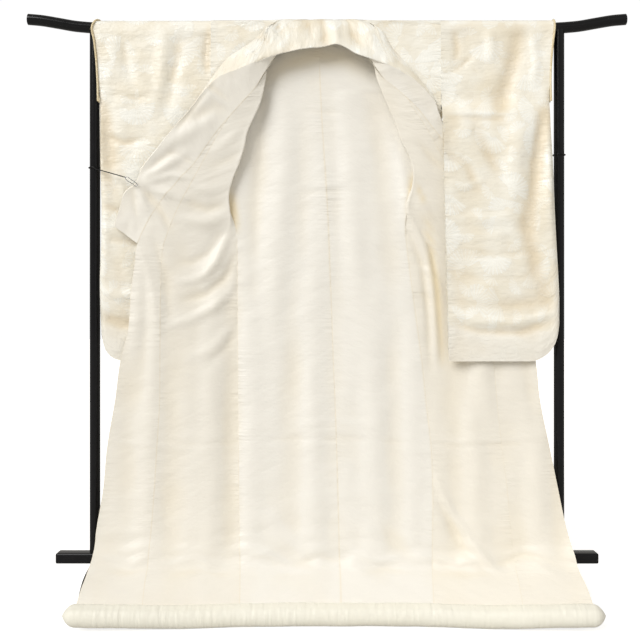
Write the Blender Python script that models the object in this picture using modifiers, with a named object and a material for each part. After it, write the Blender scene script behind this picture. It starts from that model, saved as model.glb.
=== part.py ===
"""Wedding kimono with long sleeves, hung open on its stand, lining to the front."""
import math

import bmesh
import bpy
from mathutils import Vector

# Driving sizes, metres. Tables further down are in millimetres.
MM = 0.001
CLOTH = 0.0012           # outer silk with its interlining
LINING = 0.0010          # white silk lining
GAP = 0.0003             # play between two hard parts
PLAY = 0.0005            # play between cloth and lining
SEAM = 0.0003            # each edge is drawn in this much beside a seam
BAR_HEIGHT = 1.704       # axis of the top bar above the floor
BAR_RADIUS = 0.016
WRAP = 0.0193            # radius of the cloth where it lies over the bar
COLLAR_WRAP = 0.0242     # radius of the collar over the bar
UPRIGHT_X = 0.682
UPRIGHT_RADIUS = 0.0152
RAIL = (1.585, 0.045, 0.030)
RAIL_TOP = 0.163
FOOT_RADIUS = 0.0135
ROLL_RADIUS = 0.031
COLUMNS = 8

# Lower body: the height, then x and y of the free edge, the overlap seam and the side seam.
LOWER_LEFT = [
    # height, edge x, y, overlap x, y, side x, y
    (1000, -556, -51, -479, -48, -263, -11),
    (930, -566, -50, -481, -48, -263, -13),
    (820, -574, -50, -482, -47, -262, -16),
    (730, -596, -50, -483, -46, -261, -19),
    (610, -612, -50, -484, -45, -260, -24),
    (470, -635, -50, -492, -45, -258, -29),
    (355, -645, -55, -499, -46, -257, -33),
    (241, -661, -70, -506, -52, -255, -38),
    (190, -664, -85, -509, -60, -254, -42),
    (134, -675, -115, -512, -82, -251, -56),
    (104, -680, -156, -512, -120, -248, -88),
]
LOWER_RIGHT = [
    # height, edge x, y, overlap x, y, side x, y
    (1000, 558, -14, 470, -15, 241, -11),
    (930, 570, -14, 474, -15, 250, -13),
    (820, 590, -16, 480, -17, 264, -16),
    (730, 608, -19, 486, -20, 276, -19),
    (610, 620, -26, 494, -26, 288, -23),
    (470, 646, -38, 508, -36, 303, -28),
    (355, 667, -52, 520, -46, 307, -33),
    (241, 688, -68, 530, -54, 306, -38),
    (190, 700, -82, 534, -62, 305, -42),
    (134, 710, -118, 538, -84, 303, -57),
    (104, 718, -156, 538, -122, 300, -90),
]
# Back of the body above the side seams, and the whole centre back seam.
CENTRE = [
    # height, x, y
    (104, 38, -84), (134, 37, -52), (190, 35, -40), (241, 34, -36), (355, 31, -31),
    (470, 28, -27), (610, 23, -22), (730, 18, -18), (820, 15, -15), (930, 11, -12),
    (1000, 8, -10), (1092, 5, -7), (1197, 0, -3), (1434, -15, 6), (1612, -23, 13),
    (1704, -24, 19.3),
]
BACK_EDGE_LEFT = [
    # height, x, y
    (1000, -263, -11), (1060, -263.5, -10), (1092, -264, -9.5), (1130, -265, -8), (1180, -274, -6),
    (1240, -292, -4), (1300, -308, -1), (1360, -322, 2), (1420, -333, 5), (1475, -339, 8),
    (1560, -339, 12), (1640, -339, 16), (1704, -339, 19.3),
]
BACK_EDGE_RIGHT = [
    # height, x, y
    (1000, 241, -11), (1060, 234, -10), (1108, 229, -9.5), (1180, 226, -8.5), (1240, 240, -5),
    (1300, 268, -2), (1360, 298, 1), (1420, 320, 4), (1475, 332, 7), (1560, 332, 12),
    (1640, 332, 16), (1704, 332, 19.3),
]
# Neck edge of the body panels over the bar: turn round the bar in degrees, x.
NECK_LEFT = [(10, -26), (50, -62), (95, -102), (135, -141.5)]
NECK_RIGHT = [(10, -22), (50, 20), (95, 60), (135, 102)]
# Upper fronts, turned open: armhole side, the fold ridge, and the inner seam of the panel.
# The last column is the width of the turned layer; below 0 it crowds the columns to the side.
FAN_LEFT = [
    # side x, y, z, fold x, y, z, seam x, y, z, width
    (-339, -19.3, 1704, -168, -19.3, 1704, -146, -19.3, 1704, 1),
    (-339, -20.4, 1660, -170, -20.6, 1658, -149, -22, 1658, 1),
    (-339, -21, 1615, -172, -22.5, 1613, -155, -28.5, 1608, 1),
    (-339, -22, 1568, -177, -26, 1568, -179, -33.5, 1566, 1),
    (-339, -23, 1525, -184, -29, 1520, -209, -37, 1517, 1),
    (-339, -23, 1480, -194, -30, 1478, -245, -39, 1476, 1),
    (-337, -22, 1436, -211, -30, 1438, -281, -40, 1436, 1),
    (-333, -18, 1392, -231, -29, 1395, -310, -40, 1392, 1),
    (-327, -15, 1345, -241, -30, 1348, -338, -41, 1344, 1),
    (-320, -14, 1298, -257, -30, 1298, -366, -42, 1292, 1),
    (-312, -13, 1250, -277, -29, 1248, -394, -43, 1240, 0.6),
    (-303, -12.5, 1205, -287, -24, 1203, -418, -44, 1196, 0.4),
    (-287, -11.5, 1166, -284, -20, 1166, -436, -45, 1160, 0),
    (-272, -10.5, 1128, -281, -17.5, 1128, -452, -46, 1122, 0),
    (-264, -9.5, 1092, -300, -17, 1092, -465, -47, 1086, -0.88),
    (-263.5, -10, 1060, -300, -17, 1060, -474, -48, 1056, -0.73),
]
FAN_RIGHT = [
    # side x, y, z, fold x, y, z, seam x, y, z, width
    (332, -19.3, 1704, 128, -19.3, 1704, 106, -19.3, 1704, 1),
    (332, -20.4, 1660, 131, -20.6, 1658, 110, -22, 1660, 1),
    (332, -21, 1620, 135, -22.5, 1618, 118, -28.5, 1613, 1),
    (332, -22, 1580, 139, -26, 1580, 141, -33, 1576, 1),
    (332, -22, 1545, 146, -28, 1545, 165, -36, 1545, 1),
    (332, -22, 1515, 158, -29, 1515, 197, -37, 1518, 1),
    (332, -22, 1482, 170, -29, 1485, 229, -37, 1490, 1),
    (330, -18, 1440, 186, -28, 1450, 254, -35, 1452, 1),
    (322, -14, 1400, 200, -28, 1415, 282, -33, 1412, 1),
    (308, -13, 1357, 215, -28, 1370, 306, -31, 1372, 1),
    (290, -12, 1312, 241, -27, 1318, 336, -29, 1318, 0.6),
    (270, -12, 1270, 252, -24, 1270, 362, -27, 1270, 0.4),
    (248, -11, 1228, 247, -20, 1226, 388, -24, 1218, 0),
    (227, -9, 1180, 235, -17.5, 1178, 414, -22, 1165, 0),
    (229, -9.5, 1108, 300, -20, 1108, 440, -19, 1112, -0.88),
    (234, -10, 1060, 300, -18, 1060, 462, -17, 1060, -0.73),
]
# Collar sections: inner seam, front edge, and the upper edge of the turned-over part.
COLLAR_LEFT = [
    # seam x, y, z, edge x, y, z, top x, y, z or turn over the bar in degrees
    (-66, -18, 1678, -58, -44, 1631, -60, 50, None),
    (-112, -22, 1652, -110, -48, 1621, -100, 95, None),
    (-155, -33, 1606, -162, -50, 1606, -142, 142, None),
    (-181, -38.5, 1563, -208, -52, 1588, -180, -27.5, 1690),
    (-209, -37, 1517, -258, -53, 1567, -225, -27.5, 1650),
    (-245, -39, 1476, -312, -54, 1545, -290, -30, 1606),
    (-281, -40, 1436, -352, -55, 1507, -339, -44, 1539),
    (-319, -41, 1391, -389, -56, 1460, -389, -45, 1466),
    (-355, -43, 1340, -435, -57, 1405, -437, -46, 1410),
    (-391, -44, 1290, -489, -57, 1336, -492, -46, 1341),
    (-422, -45, 1258, -533, -57, 1279, -537, -46, 1284),
    (-450, -46, 1224, -551, -57, 1236, -556, -46, 1240),
    (-476, -48, 1194, -579, -56, 1214, -583, -45, 1218),
    (-502, -49, 1156, -597, -55, 1165, -601, -44, 1168),
    (-526, -50, 1112, -606, -55, 1138, -610, -44, 1141),
    (-547, -51, 1065, -612, -54, 1114, -616, -43, 1117),
]
COLLAR_CENTRE = (-24, -17, 1680, -24, -42, 1634, -24, 22, None)
COLLAR_RIGHT = [
    # seam x, y, z, edge x, y, z, top x, y, z or turn over the bar in degrees
    (20, -18, 1680, 28, -42, 1643, 18, 50, None),
    (64, -22, 1655, 89, -46, 1612, 58, 95, None),
    (118, -33, 1611, 140, -48, 1595, 104, 142, None),
    (143, -37.5, 1574, 180, -49, 1580, 150, -27.5, 1694),
    (165, -36, 1545, 218, -49, 1560, 190, -27.5, 1640),
    (197, -37, 1518, 258, -48, 1534, 236, -29, 1585),
    (229, -37, 1490, 290, -44, 1503, 278, -31, 1536),
    (262, -35, 1458, 314, -39, 1472, 311, -34, 1488),
    (293, -33, 1420, 326, -35, 1440, 328, -24, 1449),
    (322, -31, 1384, 341, -31, 1403, 344, -20, 1409),
    (366, -27, 1335, 428, -28, 1366, 431, -17, 1372),
    (404, -25, 1288, 486, -26, 1318, 489, -15, 1324),
    (442, -23, 1236, 530, -25, 1264, 534, -14, 1269),
    (478, -21, 1182, 562, -24, 1210, 566, -13, 1215),
    (512, -20, 1126, 592, -23, 1160, 596, -12, 1164),
    (546, -18, 1066, 611, -22, 1118, 615, -11, 1121),
]
# Sleeves: the height, outer edge x, inner edge x, then y of the front and rear sheets at each edge.
SLEEVE_LEFT = [
    # height, outer x, inner x, outer front y, outer rear y, inner front y, inner rear y
    (1704, -682, -339, -19.3, 19.3, -19.3, 19.3),
    (1660, -676, -339, -21, 17, -20, 17),
    (1600, -668, -339, -23, 9, -21.3, 14.5),
    (1540, -661, -339, -25, 0, -22.6, 11),
    (1475, -657, -339, -27, -14, -24, 8),
    (1410, -655, -340, -30, -20, -21, -3),
    (1300, -654, -342, -33, -20, -19, -5),
    (1190, -654, -342, -34, -20, -18, -5),
    (1060, -657, -342, -35, -20, -17, -4),
    (930, -661, -342, -35, -20, -17, -4),
    (840, -660, -342, -35, -20, -17, -5),
    (770, -658, -342, -34, -21, -16, -6),
    (725, -656, -342, -28, -27, -12, -11),
]
SLEEVE_RIGHT = [
    # height, outer x, inner x, outer front y, outer rear y, inner front y, inner rear y
    (1704, 661, 332, -19.3, 19.3, -19.3, 19.3),
    (1660, 656, 332, -21, 17, -20, 17),
    (1600, 650, 332, -23, 9, -21.3, 14.5),
    (1540, 647, 332, -26, -4, -22.6, 11),
    (1475, 647, 332, -32, -18, -24, 7),
    (1448, 648, 333, -36, -21, -46, -36),
    (1400, 649, 334, -40, -23, -56, -43),
    (1300, 654, 336, -42, -24, -57, -43),
    (1180, 659, 339, -42, -24, -57, -42),
    (1050, 665, 343, -42, -24, -56, -41),
    (930, 670, 346, -42, -24, -55, -40),
    (840, 673, 349, -42, -25, -54, -40),
    (770, 673, 350, -40, -27, -52, -42),
    (725, 673, 351, -34, -33, -48, -47),
]
CORNER_LEFT = 0.062
CORNER_RIGHT = 0.085
# Padded hem roll: its axis.
ROLL_AXIS = [
    # x, y, height
    (-716, -205, 44), (-660, -202, 43), (-508, -188, 36), (-390, -172, 30), (-244, -158, 30),
    (38, -152, 30), (295, -158, 30), (430, -172, 30), (536, -188, 36), (690, -202, 43),
    (750, -205, 44),
]
FOOT_AXIS = [
    # y, height
    (-146, 0), (-146, 22), (-140, 48), (-122, 76), (-94, 97), (-50, 112), (0, 118.8),
    (50, 112), (94, 97), (122, 76), (140, 48), (146, 22), (146, 0),
]


def clear_scene():
    for item in list(bpy.data.objects):
        bpy.data.objects.remove(item, do_unlink=True)


def new_collection(name, cutters=False):
    group = bpy.data.collections.new(name)
    bpy.context.scene.collection.children.link(group)
    group.hide_render = cutters
    return group


def material(name, colour, roughness, metallic=0.0):
    made = bpy.data.materials.new(name)
    made.use_nodes = True
    shader = made.node_tree.nodes["Principled BSDF"]
    shader.inputs["Base Color"].default_value = (*colour, 1.0)
    shader.inputs["Roughness"].default_value = roughness
    shader.inputs["Metallic"].default_value = metallic
    made.diffuse_color = (*colour, 1.0)
    return made


def between(table, key):
    """Columns of a table at a key, straight between its rows; the key is the first column."""
    rows = sorted(table)
    if key <= rows[0][0]:
        return rows[0][1:]
    for low, high in zip(rows, rows[1:]):
        if key <= high[0]:
            share = (key - low[0]) / (high[0] - low[0])
            return [a + (b - a) * share for a, b in zip(low[1:], high[1:])]
    return rows[-1][1:]


def curve_through(points, place):
    """A smooth curve through a list of points, read at a place counted in points."""
    last = len(points) - 1
    index = min(int(place), last - 1)
    share = place - index
    before = points[max(index - 1, 0)]
    start = points[index]
    end = points[index + 1]
    after = points[min(index + 2, last)]
    slope_start = (end - before) * 0.5
    slope_end = (after - start) * 0.5
    square = share * share
    cube = square * share
    return (start * (2 * cube - 3 * square + 1) + slope_start * (cube - 2 * square + share)
            + end * (3 * square - 2 * cube) + slope_end * (cube - square))


def along(points, count):
    """Evenly spaced points on a broken line."""
    lengths = [(b - a).length for a, b in zip(points, points[1:])]
    spaced = []
    for step in range(count):
        rest = sum(lengths) * step / (count - 1)
        index = 0
        while index < len(lengths) - 1 and rest > lengths[index]:
            rest -= lengths[index]
            index += 1
        spaced.append(points[index].lerp(points[index + 1], min(rest / lengths[index], 1.0)))
    return spaced


def refine(rows, places):
    """Rows of points read smoothly at the given places between the rows."""
    columns = list(zip(*rows))
    return [[curve_through(column, place) for column in columns] for place in places]


def over_bar(x, turn, radius):
    """A point on the cloth over the bar: 0 is the rear, 90 the top, 180 the front."""
    angle = math.radians(turn)
    return Vector((x, radius * math.cos(angle), BAR_HEIGHT + radius * math.sin(angle)))


def normals(grid, side):
    """Outward normal at each point of a grid."""
    found = []
    for row, line in enumerate(grid):
        above = grid[max(row - 1, 0)]
        below = grid[min(row + 1, len(grid) - 1)]
        normal_row = []
        for column in range(len(line)):
            down = below[column] - above[column]
            across = line[min(column + 1, len(line) - 1)] - line[max(column - 1, 0)]
            normal = down.cross(across) if side < 0 else across.cross(down)
            normal_row.append(normal.normalized())
        found.append(normal_row)
    return found


def drawn_in(grid, ends=(True, True), edges=(True, True), play=SEAM):
    """The grid with its borders drawn in beside the seams."""
    inner = [list(row) for row in grid]
    for row in inner:
        if edges[0]:
            row[0] = row[0] + (row[1] - row[0]).normalized() * play
        if edges[1]:
            row[-1] = row[-1] + (row[-2] - row[-1]).normalized() * play
    for column in range(len(grid[0])):
        if ends[0]:
            inward = (grid[1][column] - grid[0][column]).normalized()
            inner[0][column] = inner[0][column] + inward * play
        if ends[1]:
            inward = (grid[-2][column] - grid[-1][column]).normalized()
            inner[-1][column] = inner[-1][column] + inward * play
    return inner


def grid_mesh(name, grid, base, side):
    """An open mesh of triangles through a grid, split the same way for both layers of a base."""
    width = len(grid[0])
    points = [spot for row in grid for spot in row]
    faces = []
    for row in range(len(grid) - 1):
        for column in range(width - 1):
            first = row * width + column
            ring = (first, first + width, first + width + 1, first + 1)
            falling = (base[row + 1][column + 1] - base[row][column]).length
            rising = (base[row + 1][column] - base[row][column + 1]).length
            start = 0 if falling < rising else 1
            ring = ring[start:] + ring[:start]
            for triple in ((ring[0], ring[1], ring[2]), (ring[0], ring[2], ring[3])):
                faces.append(triple if side < 0 else triple[::-1])
    mesh = bpy.data.meshes.new(name)
    mesh.from_pydata(points, [], faces)
    return mesh


def finish(name, mesh, look, group):
    """An object of the mesh, smooth shaded, with its material."""
    made = bpy.data.objects.new(name, mesh)
    group.objects.link(made)
    mesh.materials.append(look)
    mesh.polygons.foreach_set("use_smooth", [True] * len(mesh.polygons))
    mesh.update()
    return made


def walled(made, wall, outward):
    """Real cloth thickness, laid on one side of the open mesh."""
    solidify = made.modifiers.new("wall", "SOLIDIFY")
    solidify.thickness = wall
    solidify.offset = 1.0 if outward else -1.0
    solidify.use_rim = True
    return made


def layer(name, grid, side, outward, wall, look, group):
    """One cloth layer beside a grid: outward is the face side, else the lining side."""
    shift = PLAY * 0.5 if outward else -PLAY * 0.5
    normal = normals(grid, side)
    moved = [[point + normal[r][c] * shift for c, point in enumerate(row)]
             for r, row in enumerate(grid)]
    return walled(finish(name, grid_mesh(name, moved, grid, side), look, group), wall, outward)


def hem_point(x):
    """Where the cloth meets the top of the hem roll."""
    centre = roll_centre(x)
    return centre + Vector((0.0, 0.48, 0.88)) * (ROLL_RADIUS + 0.0004)


def roll_centre(x):
    y, z = between(ROLL_AXIS, x / MM)
    return Vector((x, y * MM, z * MM))


def point(x, y, z):
    return Vector((x * MM, y * MM, z * MM))


def soft_folds(spot):
    """Slight hanging waves of the lower cloth, growing towards the hem."""
    depth = 0.0035 * min(max((1.15 - spot.z) / 0.5, 0.0), 1.0)
    lean = 0.06 * (1.0 - spot.z)
    wave = math.sin((spot.x * (1.0 - lean)) * 41.0) + 0.5 * math.sin(spot.x * 67.0 + 1.3)
    calm = min(max((spot.z - 0.12) / 0.1, 0.0), 1.0)
    return Vector((0.0, depth * wave * calm, 0.0))


def ridge(spot):
    """The long crease beside the inner edge of the right sleeve."""
    if spot.x < 0.0:
        return Vector((0.0, 0.0, 0.0))
    line = [(600, 352), (900, 350), (1037, 341), (1147, 300), (1232, 262)]
    across = between(line, spot.z / MM)[0]
    rising = min(max((spot.z - 0.55) / 0.25, 0.0), 1.0)
    fading = min(max((1.18 - spot.z) / 0.1, 0.0), 1.0)
    near = math.exp(-((spot.x - across * MM) / 0.024) ** 2)
    return Vector((0.0, -0.010 * rising * fading * near, 0.0))


def spread(first, last, count):
    return [first.lerp(last, step / (count - 1)) for step in range(count)]


def front_row(entry):
    """Eight points of an upper front row, from the armhole side to the inner seam."""
    side = point(*entry[0:3])
    fold = point(*entry[3:6])
    seam = point(*entry[6:9])
    share = entry[9]
    if share < 0:
        return crowded_row(side, seam, -share)
    out = -1.0 if side.x < 0.0 else 1.0
    wide = Vector((fold.x + out * 0.007, side.y + (fold.y - side.y) * 0.15, fold.z))
    near = fold.lerp(side, 0.25).lerp(wide, share)
    far = fold.lerp(seam, min(1 / 3, 0.009 / (seam - fold).length))
    return spread(side, near, 4) + [fold, far, far.lerp(seam, 0.5), seam]


def crowded_row(side, seam, crowd):
    """Eight points with the first ones crowded to the side, as the fold above leaves them."""
    close = (0.0, 0.02, 0.04, 0.06, 0.085, 0.13, 0.56, 1.0)
    return [side.lerp(seam, step / 7 + (close[step] - step / 7) * crowd)
            for step in range(COLUMNS)]


def lower_front_row(entry, arc):
    height, _, _, overlap_x, overlap_y, side_x, side_y = entry
    side = point(side_x, side_y, height)
    seam = point(overlap_x, overlap_y, height)
    row = crowded_row(side, seam, min(max((height - 820) / 360, 0.0), 0.5))
    for step, spot in enumerate(row):
        row[step] = spot + Vector((0.0, arc * math.sin(math.pi * step / 7), 0.0))
    return row


def hem_row(first_x, last_x, count):
    return [hem_point(first_x + (last_x - first_x) * step / (count - 1)) for step in range(count)]


def back_row(height, edges, lower):
    """Eight points of a back row, from the side to the centre back."""
    centre_x, centre_y = between(CENTRE, height)
    if height < 1000:
        side_x, side_y = between([(row[0], row[5], row[6]) for row in lower], height)
    else:
        side_x, side_y = between(edges, height)
    return spread(point(side_x, side_y, height), point(centre_x, centre_y, height), COLUMNS)


def body_grid(side):
    """One body panel from the back hem, over the bar, to the front hem."""
    left = side < 0
    lower = LOWER_LEFT if left else LOWER_RIGHT
    edges = BACK_EDGE_LEFT if left else BACK_EDGE_RIGHT
    fan = FAN_LEFT if left else FAN_RIGHT
    hem_side = lower[-1][5] * MM + (0.004 if left else -0.004)
    joint = (1092, 1060) if left else (1180, 1108, 1060)
    heights = [104, 134, 190, 241, 355, 470, 610, 730, 820, 930, 1000]
    heights += sorted(joint) + [1240, 1300, 1360, 1420, 1475, 1560, 1640, 1685]
    back = [hem_row(hem_side, 0.038, COLUMNS)] + [back_row(z, edges, lower) for z in heights]
    neck = NECK_LEFT if left else NECK_RIGHT
    edge_x = edges[-1][1] * MM
    top = [spread(over_bar(edge_x, turn, WRAP), over_bar(x * MM, turn, WRAP), COLUMNS)
           for turn, x in neck]
    upper = [front_row(entry) for entry in fan]
    skirt = [lower_front_row(entry, -0.003 if left else 0.0) for entry in lower]
    hem_seam = lower[-1][3] * MM + (0.004 if left else -0.002)
    front = refine(upper + skirt, front_places()) + [hem_row(hem_side, hem_seam, COLUMNS)]
    return back, top, front


def front_places():
    """Rows used on the front, counted from the front of the bar."""
    fine = [3 + 0.5 * step for step in range(19)]
    return [0, 1, 2] + fine + list(range(13, 16 + len(LOWER_LEFT)))


def folded_in(rows):
    """Rows with the soft hanging waves and the long crease added."""
    return [[spot + soft_folds(spot) + ridge(spot) for spot in row] for row in rows]


def panels(side, name, cloth, lining, group):
    """Body panel and overlap panel of one side, each with its lining."""
    left = side < 0
    lower = LOWER_LEFT if left else LOWER_RIGHT
    fan = FAN_LEFT if left else FAN_RIGHT
    collar = COLLAR_LEFT if left else COLLAR_RIGHT
    back, top, front = body_grid(side)
    body = folded_in(back) + top + folded_in(front)
    body = drawn_in(body, ends=(False, False))
    layer("body_" + name, body, side, True, CLOTH, cloth, group)
    layer("body_lining_" + name, body, side, False, LINING, lining, group)
    rows = []
    for index in range(7, len(fan)):
        seam = point(*fan[index][6:9])
        rows.append(spread(seam, point(*collar[index][0:3]), 4))
    for entry in lower:
        seam = point(entry[3], entry[4], entry[0])
        edge = point(entry[1], entry[2], entry[0])
        rows.append(spread(seam, edge, 4))
    places = [place - 7 for place in front_places() if place >= 7]
    overlap = refine(rows, places)
    hem_seam = lower[-1][3] * MM + (0.004 if left else -0.002)
    hem_edge = lower[-1][1] * MM + (-0.005 if left else 0.006)
    overlap.append(hem_row(hem_seam, hem_edge, 4))
    overlap = drawn_in(folded_in(overlap), ends=(True, False))
    layer("overlap_" + name, overlap, side, True, CLOTH, cloth, group)
    layer("overlap_lining_" + name, overlap, side, False, LINING, lining, group)


def collar_section(entry):
    """Twelve points of the collar: inner seam, front edge, then the turned-over part."""
    seam = point(*entry[0:3])
    edge = point(*entry[3:6])
    if entry[8] is None:
        rise = min(max((seam.z - edge.z) * 0.1, 0.0), 0.003)
        inner = spread(seam, edge + Vector((0.0, 0.006, rise)), 4)
        turn = entry[7]
        outer = [edge]
        for step in range(9):
            x = edge.x + (entry[6] * MM - edge.x) * (step + 1) / 9
            outer.append(over_bar(x, 180 - (180 - turn) * step / 8, COLLAR_WRAP))
        outer = along(outer, 8)
    else:
        inner = spread(seam, edge.lerp(seam, 0.06), 4)
        top = point(*entry[6:9])
        power = 0.6 if (top - edge).length < 0.03 else 1.0
        outer = [edge.lerp(top, (step / 7) ** power) for step in range(8)]
    return inner + outer


def make_collar(cloth, lining, group):
    """The whole collar from its left end round the neck to its right end."""
    left = [collar_section(entry) for entry in COLLAR_LEFT]
    right = [collar_section(entry) for entry in COLLAR_RIGHT]
    rows = list(reversed(left)) + [collar_section(COLLAR_CENTRE)] + right
    fine = [0, 0.5, 1, 1.5, 2, 2.5] + [place for place in front_places() if 3 <= place < 16]
    places = [15 - place for place in reversed(fine)] + [16] + [17 + place for place in fine]
    grid = drawn_in(refine(rows, places), ends=(False, False), edges=(True, False), play=0.0008)
    layer("collar", grid, 1, True, CLOTH, cloth, group)
    inner = [row[:4] for row in grid]
    layer("collar_lining", inner, 1, False, LINING, lining, group)


def sleeve(side, name, cloth, group):
    """One long sleeve: a bag over the bar, open at the armhole, the inner edge and the cuff."""
    left = side < 0
    table = SLEEVE_LEFT if left else SLEEVE_RIGHT
    corner = CORNER_LEFT if left else CORNER_RIGHT
    shares = [0.0, 0.22, 0.44, 0.64, 0.8, 0.9, 0.965, 1.0]
    bottom = table[-1][0] * MM
    cuff = 4

    def spot(entry, share, front):
        height, outer_x, inner_x, outer_front, outer_rear, inner_front, inner_rear = entry
        x = (inner_x + (outer_x - inner_x) * share) * MM
        if not front and left and height > 1475:
            x = max(x, -0.657)
        outer_y = outer_front if front else outer_rear
        inner_y = inner_front if front else inner_rear
        y = inner_y + (outer_y - inner_y) * share
        reach = max(corner - abs(outer_x * MM - x), 0.0)
        rise = corner * 1.25 * (1.0 - math.sqrt(max(1.0 - (reach / corner) ** 2, 0.0)))
        z = height * MM
        low = 1.10
        if z < low:
            z = low - (low - z) * (low - bottom - rise) / (low - bottom)
        return Vector((x, y * MM, z))

    made = bmesh.new()
    rows = {}
    for front in (True, False):
        for level, entry in enumerate(table):
            line = []
            for step, share in enumerate(shares):
                place = spot(entry, share, front)
                closed = step == len(shares) - 1 and level >= cuff or level == len(table) - 1
                if closed:
                    place = (spot(entry, share, True) + spot(entry, share, False)) * 0.5
                line.append(made.verts.new(place))
            rows[front, level] = line
    over = {}
    for turn in (140, 90, 40):
        start = over_bar(table[0][2] * MM, turn, WRAP)
        reach = table[0][1] * MM if not left else -0.657 - 0.025 * max(turn - 40, 0) / 140
        end = over_bar(reach, turn, WRAP)
        over[turn] = [made.verts.new(start.lerp(end, share)) for share in shares]
    chain = [rows[True, level] for level in reversed(range(len(table)))]
    chain += [over[140], over[90], over[40]]
    chain += [rows[False, level] for level in range(len(table))]
    for lower, upper in zip(chain, chain[1:]):
        for step in range(len(shares) - 1):
            quad = (lower[step], lower[step + 1], upper[step + 1], upper[step])
            made.faces.new(quad if side > 0 else quad[::-1])
    bmesh.ops.remove_doubles(made, verts=made.verts, dist=0.00005)
    mesh = bpy.data.meshes.new("sleeve_" + name)
    made.to_mesh(mesh)
    made.free()
    walled(finish("sleeve_" + name, mesh, cloth, group), CLOTH, True)


def tube(name, points, radius, look, group, sides=3):
    """A round bar along a line of points."""
    data = bpy.data.curves.new(name, "CURVE")
    data.dimensions = "3D"
    data.bevel_depth = radius
    data.bevel_resolution = sides
    data.use_fill_caps = True
    line = data.splines.new("POLY")
    line.points.add(len(points) - 1)
    for slot, place in zip(line.points, points):
        slot.co = (*place, 1.0)
    holder = bpy.data.objects.new(name, data)
    group.objects.link(holder)
    bpy.context.view_layer.update()
    seen = holder.evaluated_get(bpy.context.evaluated_depsgraph_get())
    mesh = bpy.data.meshes.new_from_object(seen)
    bpy.data.objects.remove(holder, do_unlink=True)
    mesh.materials.clear()
    welded = bmesh.new()
    welded.from_mesh(mesh)
    bmesh.ops.remove_doubles(welded, verts=welded.verts, dist=0.00001)
    bmesh.ops.recalc_face_normals(welded, faces=welded.faces)
    welded.to_mesh(mesh)
    welded.free()
    return finish(name, mesh, look, group)


def cuff_roll(side, name, look, group):
    """The narrow padded edge round the cuff opening, front edge, over the bar, rear edge."""
    left = side < 0
    table = (SLEEVE_LEFT if left else SLEEVE_RIGHT)[:5]
    radius = 0.0030
    shift = side * (radius + SEAM * 0.5)
    skin = 0.0020
    front = [Vector((row[1] * MM + shift, row[3] * MM - skin, row[0] * MM)) for row in table[:4]]
    last = table[4]
    front.append(Vector((last[1] * MM + shift, last[3] * MM - skin, last[0] * MM + 0.006)))
    rear_x = -0.657 if left else None
    rear = []
    for row in table[:4]:
        x = (row[1] * MM if rear_x is None else rear_x) + shift
        rear.append(Vector((x, row[4] * MM + skin, row[0] * MM)))
    rear.append(Vector((last[1] * MM + shift, last[4] * MM + skin, last[0] * MM + 0.006)))
    over = []
    for turn in (150, 120, 90, 60, 30):
        reach = table[0][1] * MM if not left else -0.657 - 0.025 * max(turn - 30, 0) / 150
        over.append(over_bar(reach + shift, turn, WRAP + skin))
    tube("cuff_" + name, list(reversed(front)) + over + rear, radius, look, group, sides=1)


def hem_roll(look, group):
    """The padded roll along the hem, flat where it rests."""
    count = 33
    start = ROLL_AXIS[0][0] * MM
    end = ROLL_AXIS[-1][0] * MM
    sides = 12
    sections = []
    for step in range(count):
        share = 0.5 - 0.5 * math.cos(math.pi * step / (count - 1)) * 0.999
        share = share * 0.35 + (step / (count - 1)) * 0.65
        x = start + (end - start) * share
        centre = roll_centre(x)
        near_end = min(x - start, end - x)
        radius = ROLL_RADIUS * (1.0 - 0.28 * max(1.0 - near_end / 0.03, 0.0) ** 2)
        ring = []
        for side in range(sides):
            angle = math.radians(15 + 30 * side)
            ring.append(centre + Vector((0.0, radius * math.sin(angle), -radius * math.cos(angle))))
        sections.append(ring)
    lowest = min(spot.z for ring in sections for spot in ring)
    made = bmesh.new()
    rings = [[made.verts.new(spot - Vector((0.0, 0.0, lowest))) for spot in ring]
             for ring in sections]
    for first, second in zip(rings, rings[1:]):
        for side in range(sides):
            after = (side + 1) % sides
            made.faces.new((first[side], second[side], second[after], first[after]))
    made.faces.new(rings[0])
    made.faces.new(list(reversed(rings[-1])))
    bmesh.ops.recalc_face_normals(made, faces=made.faces)
    mesh = bpy.data.meshes.new("hem_roll")
    made.to_mesh(mesh)
    made.free()
    finish("hem_roll", mesh, look, group)


def box(name, centre, size, bevel, look, group):
    bpy.ops.mesh.primitive_cube_add(size=1.0)
    made = bpy.context.active_object
    made.name = name
    made.data.name = name
    for corner in made.data.vertices:
        corner.co = Vector([value * length for value, length in zip(corner.co, size)]) + centre
    made.data.materials.append(look)
    for owner in list(made.users_collection):
        owner.objects.unlink(made)
    group.objects.link(made)
    softened = made.modifiers.new("edge", "BEVEL")
    softened.width = bevel
    softened.segments = 2
    return made


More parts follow.
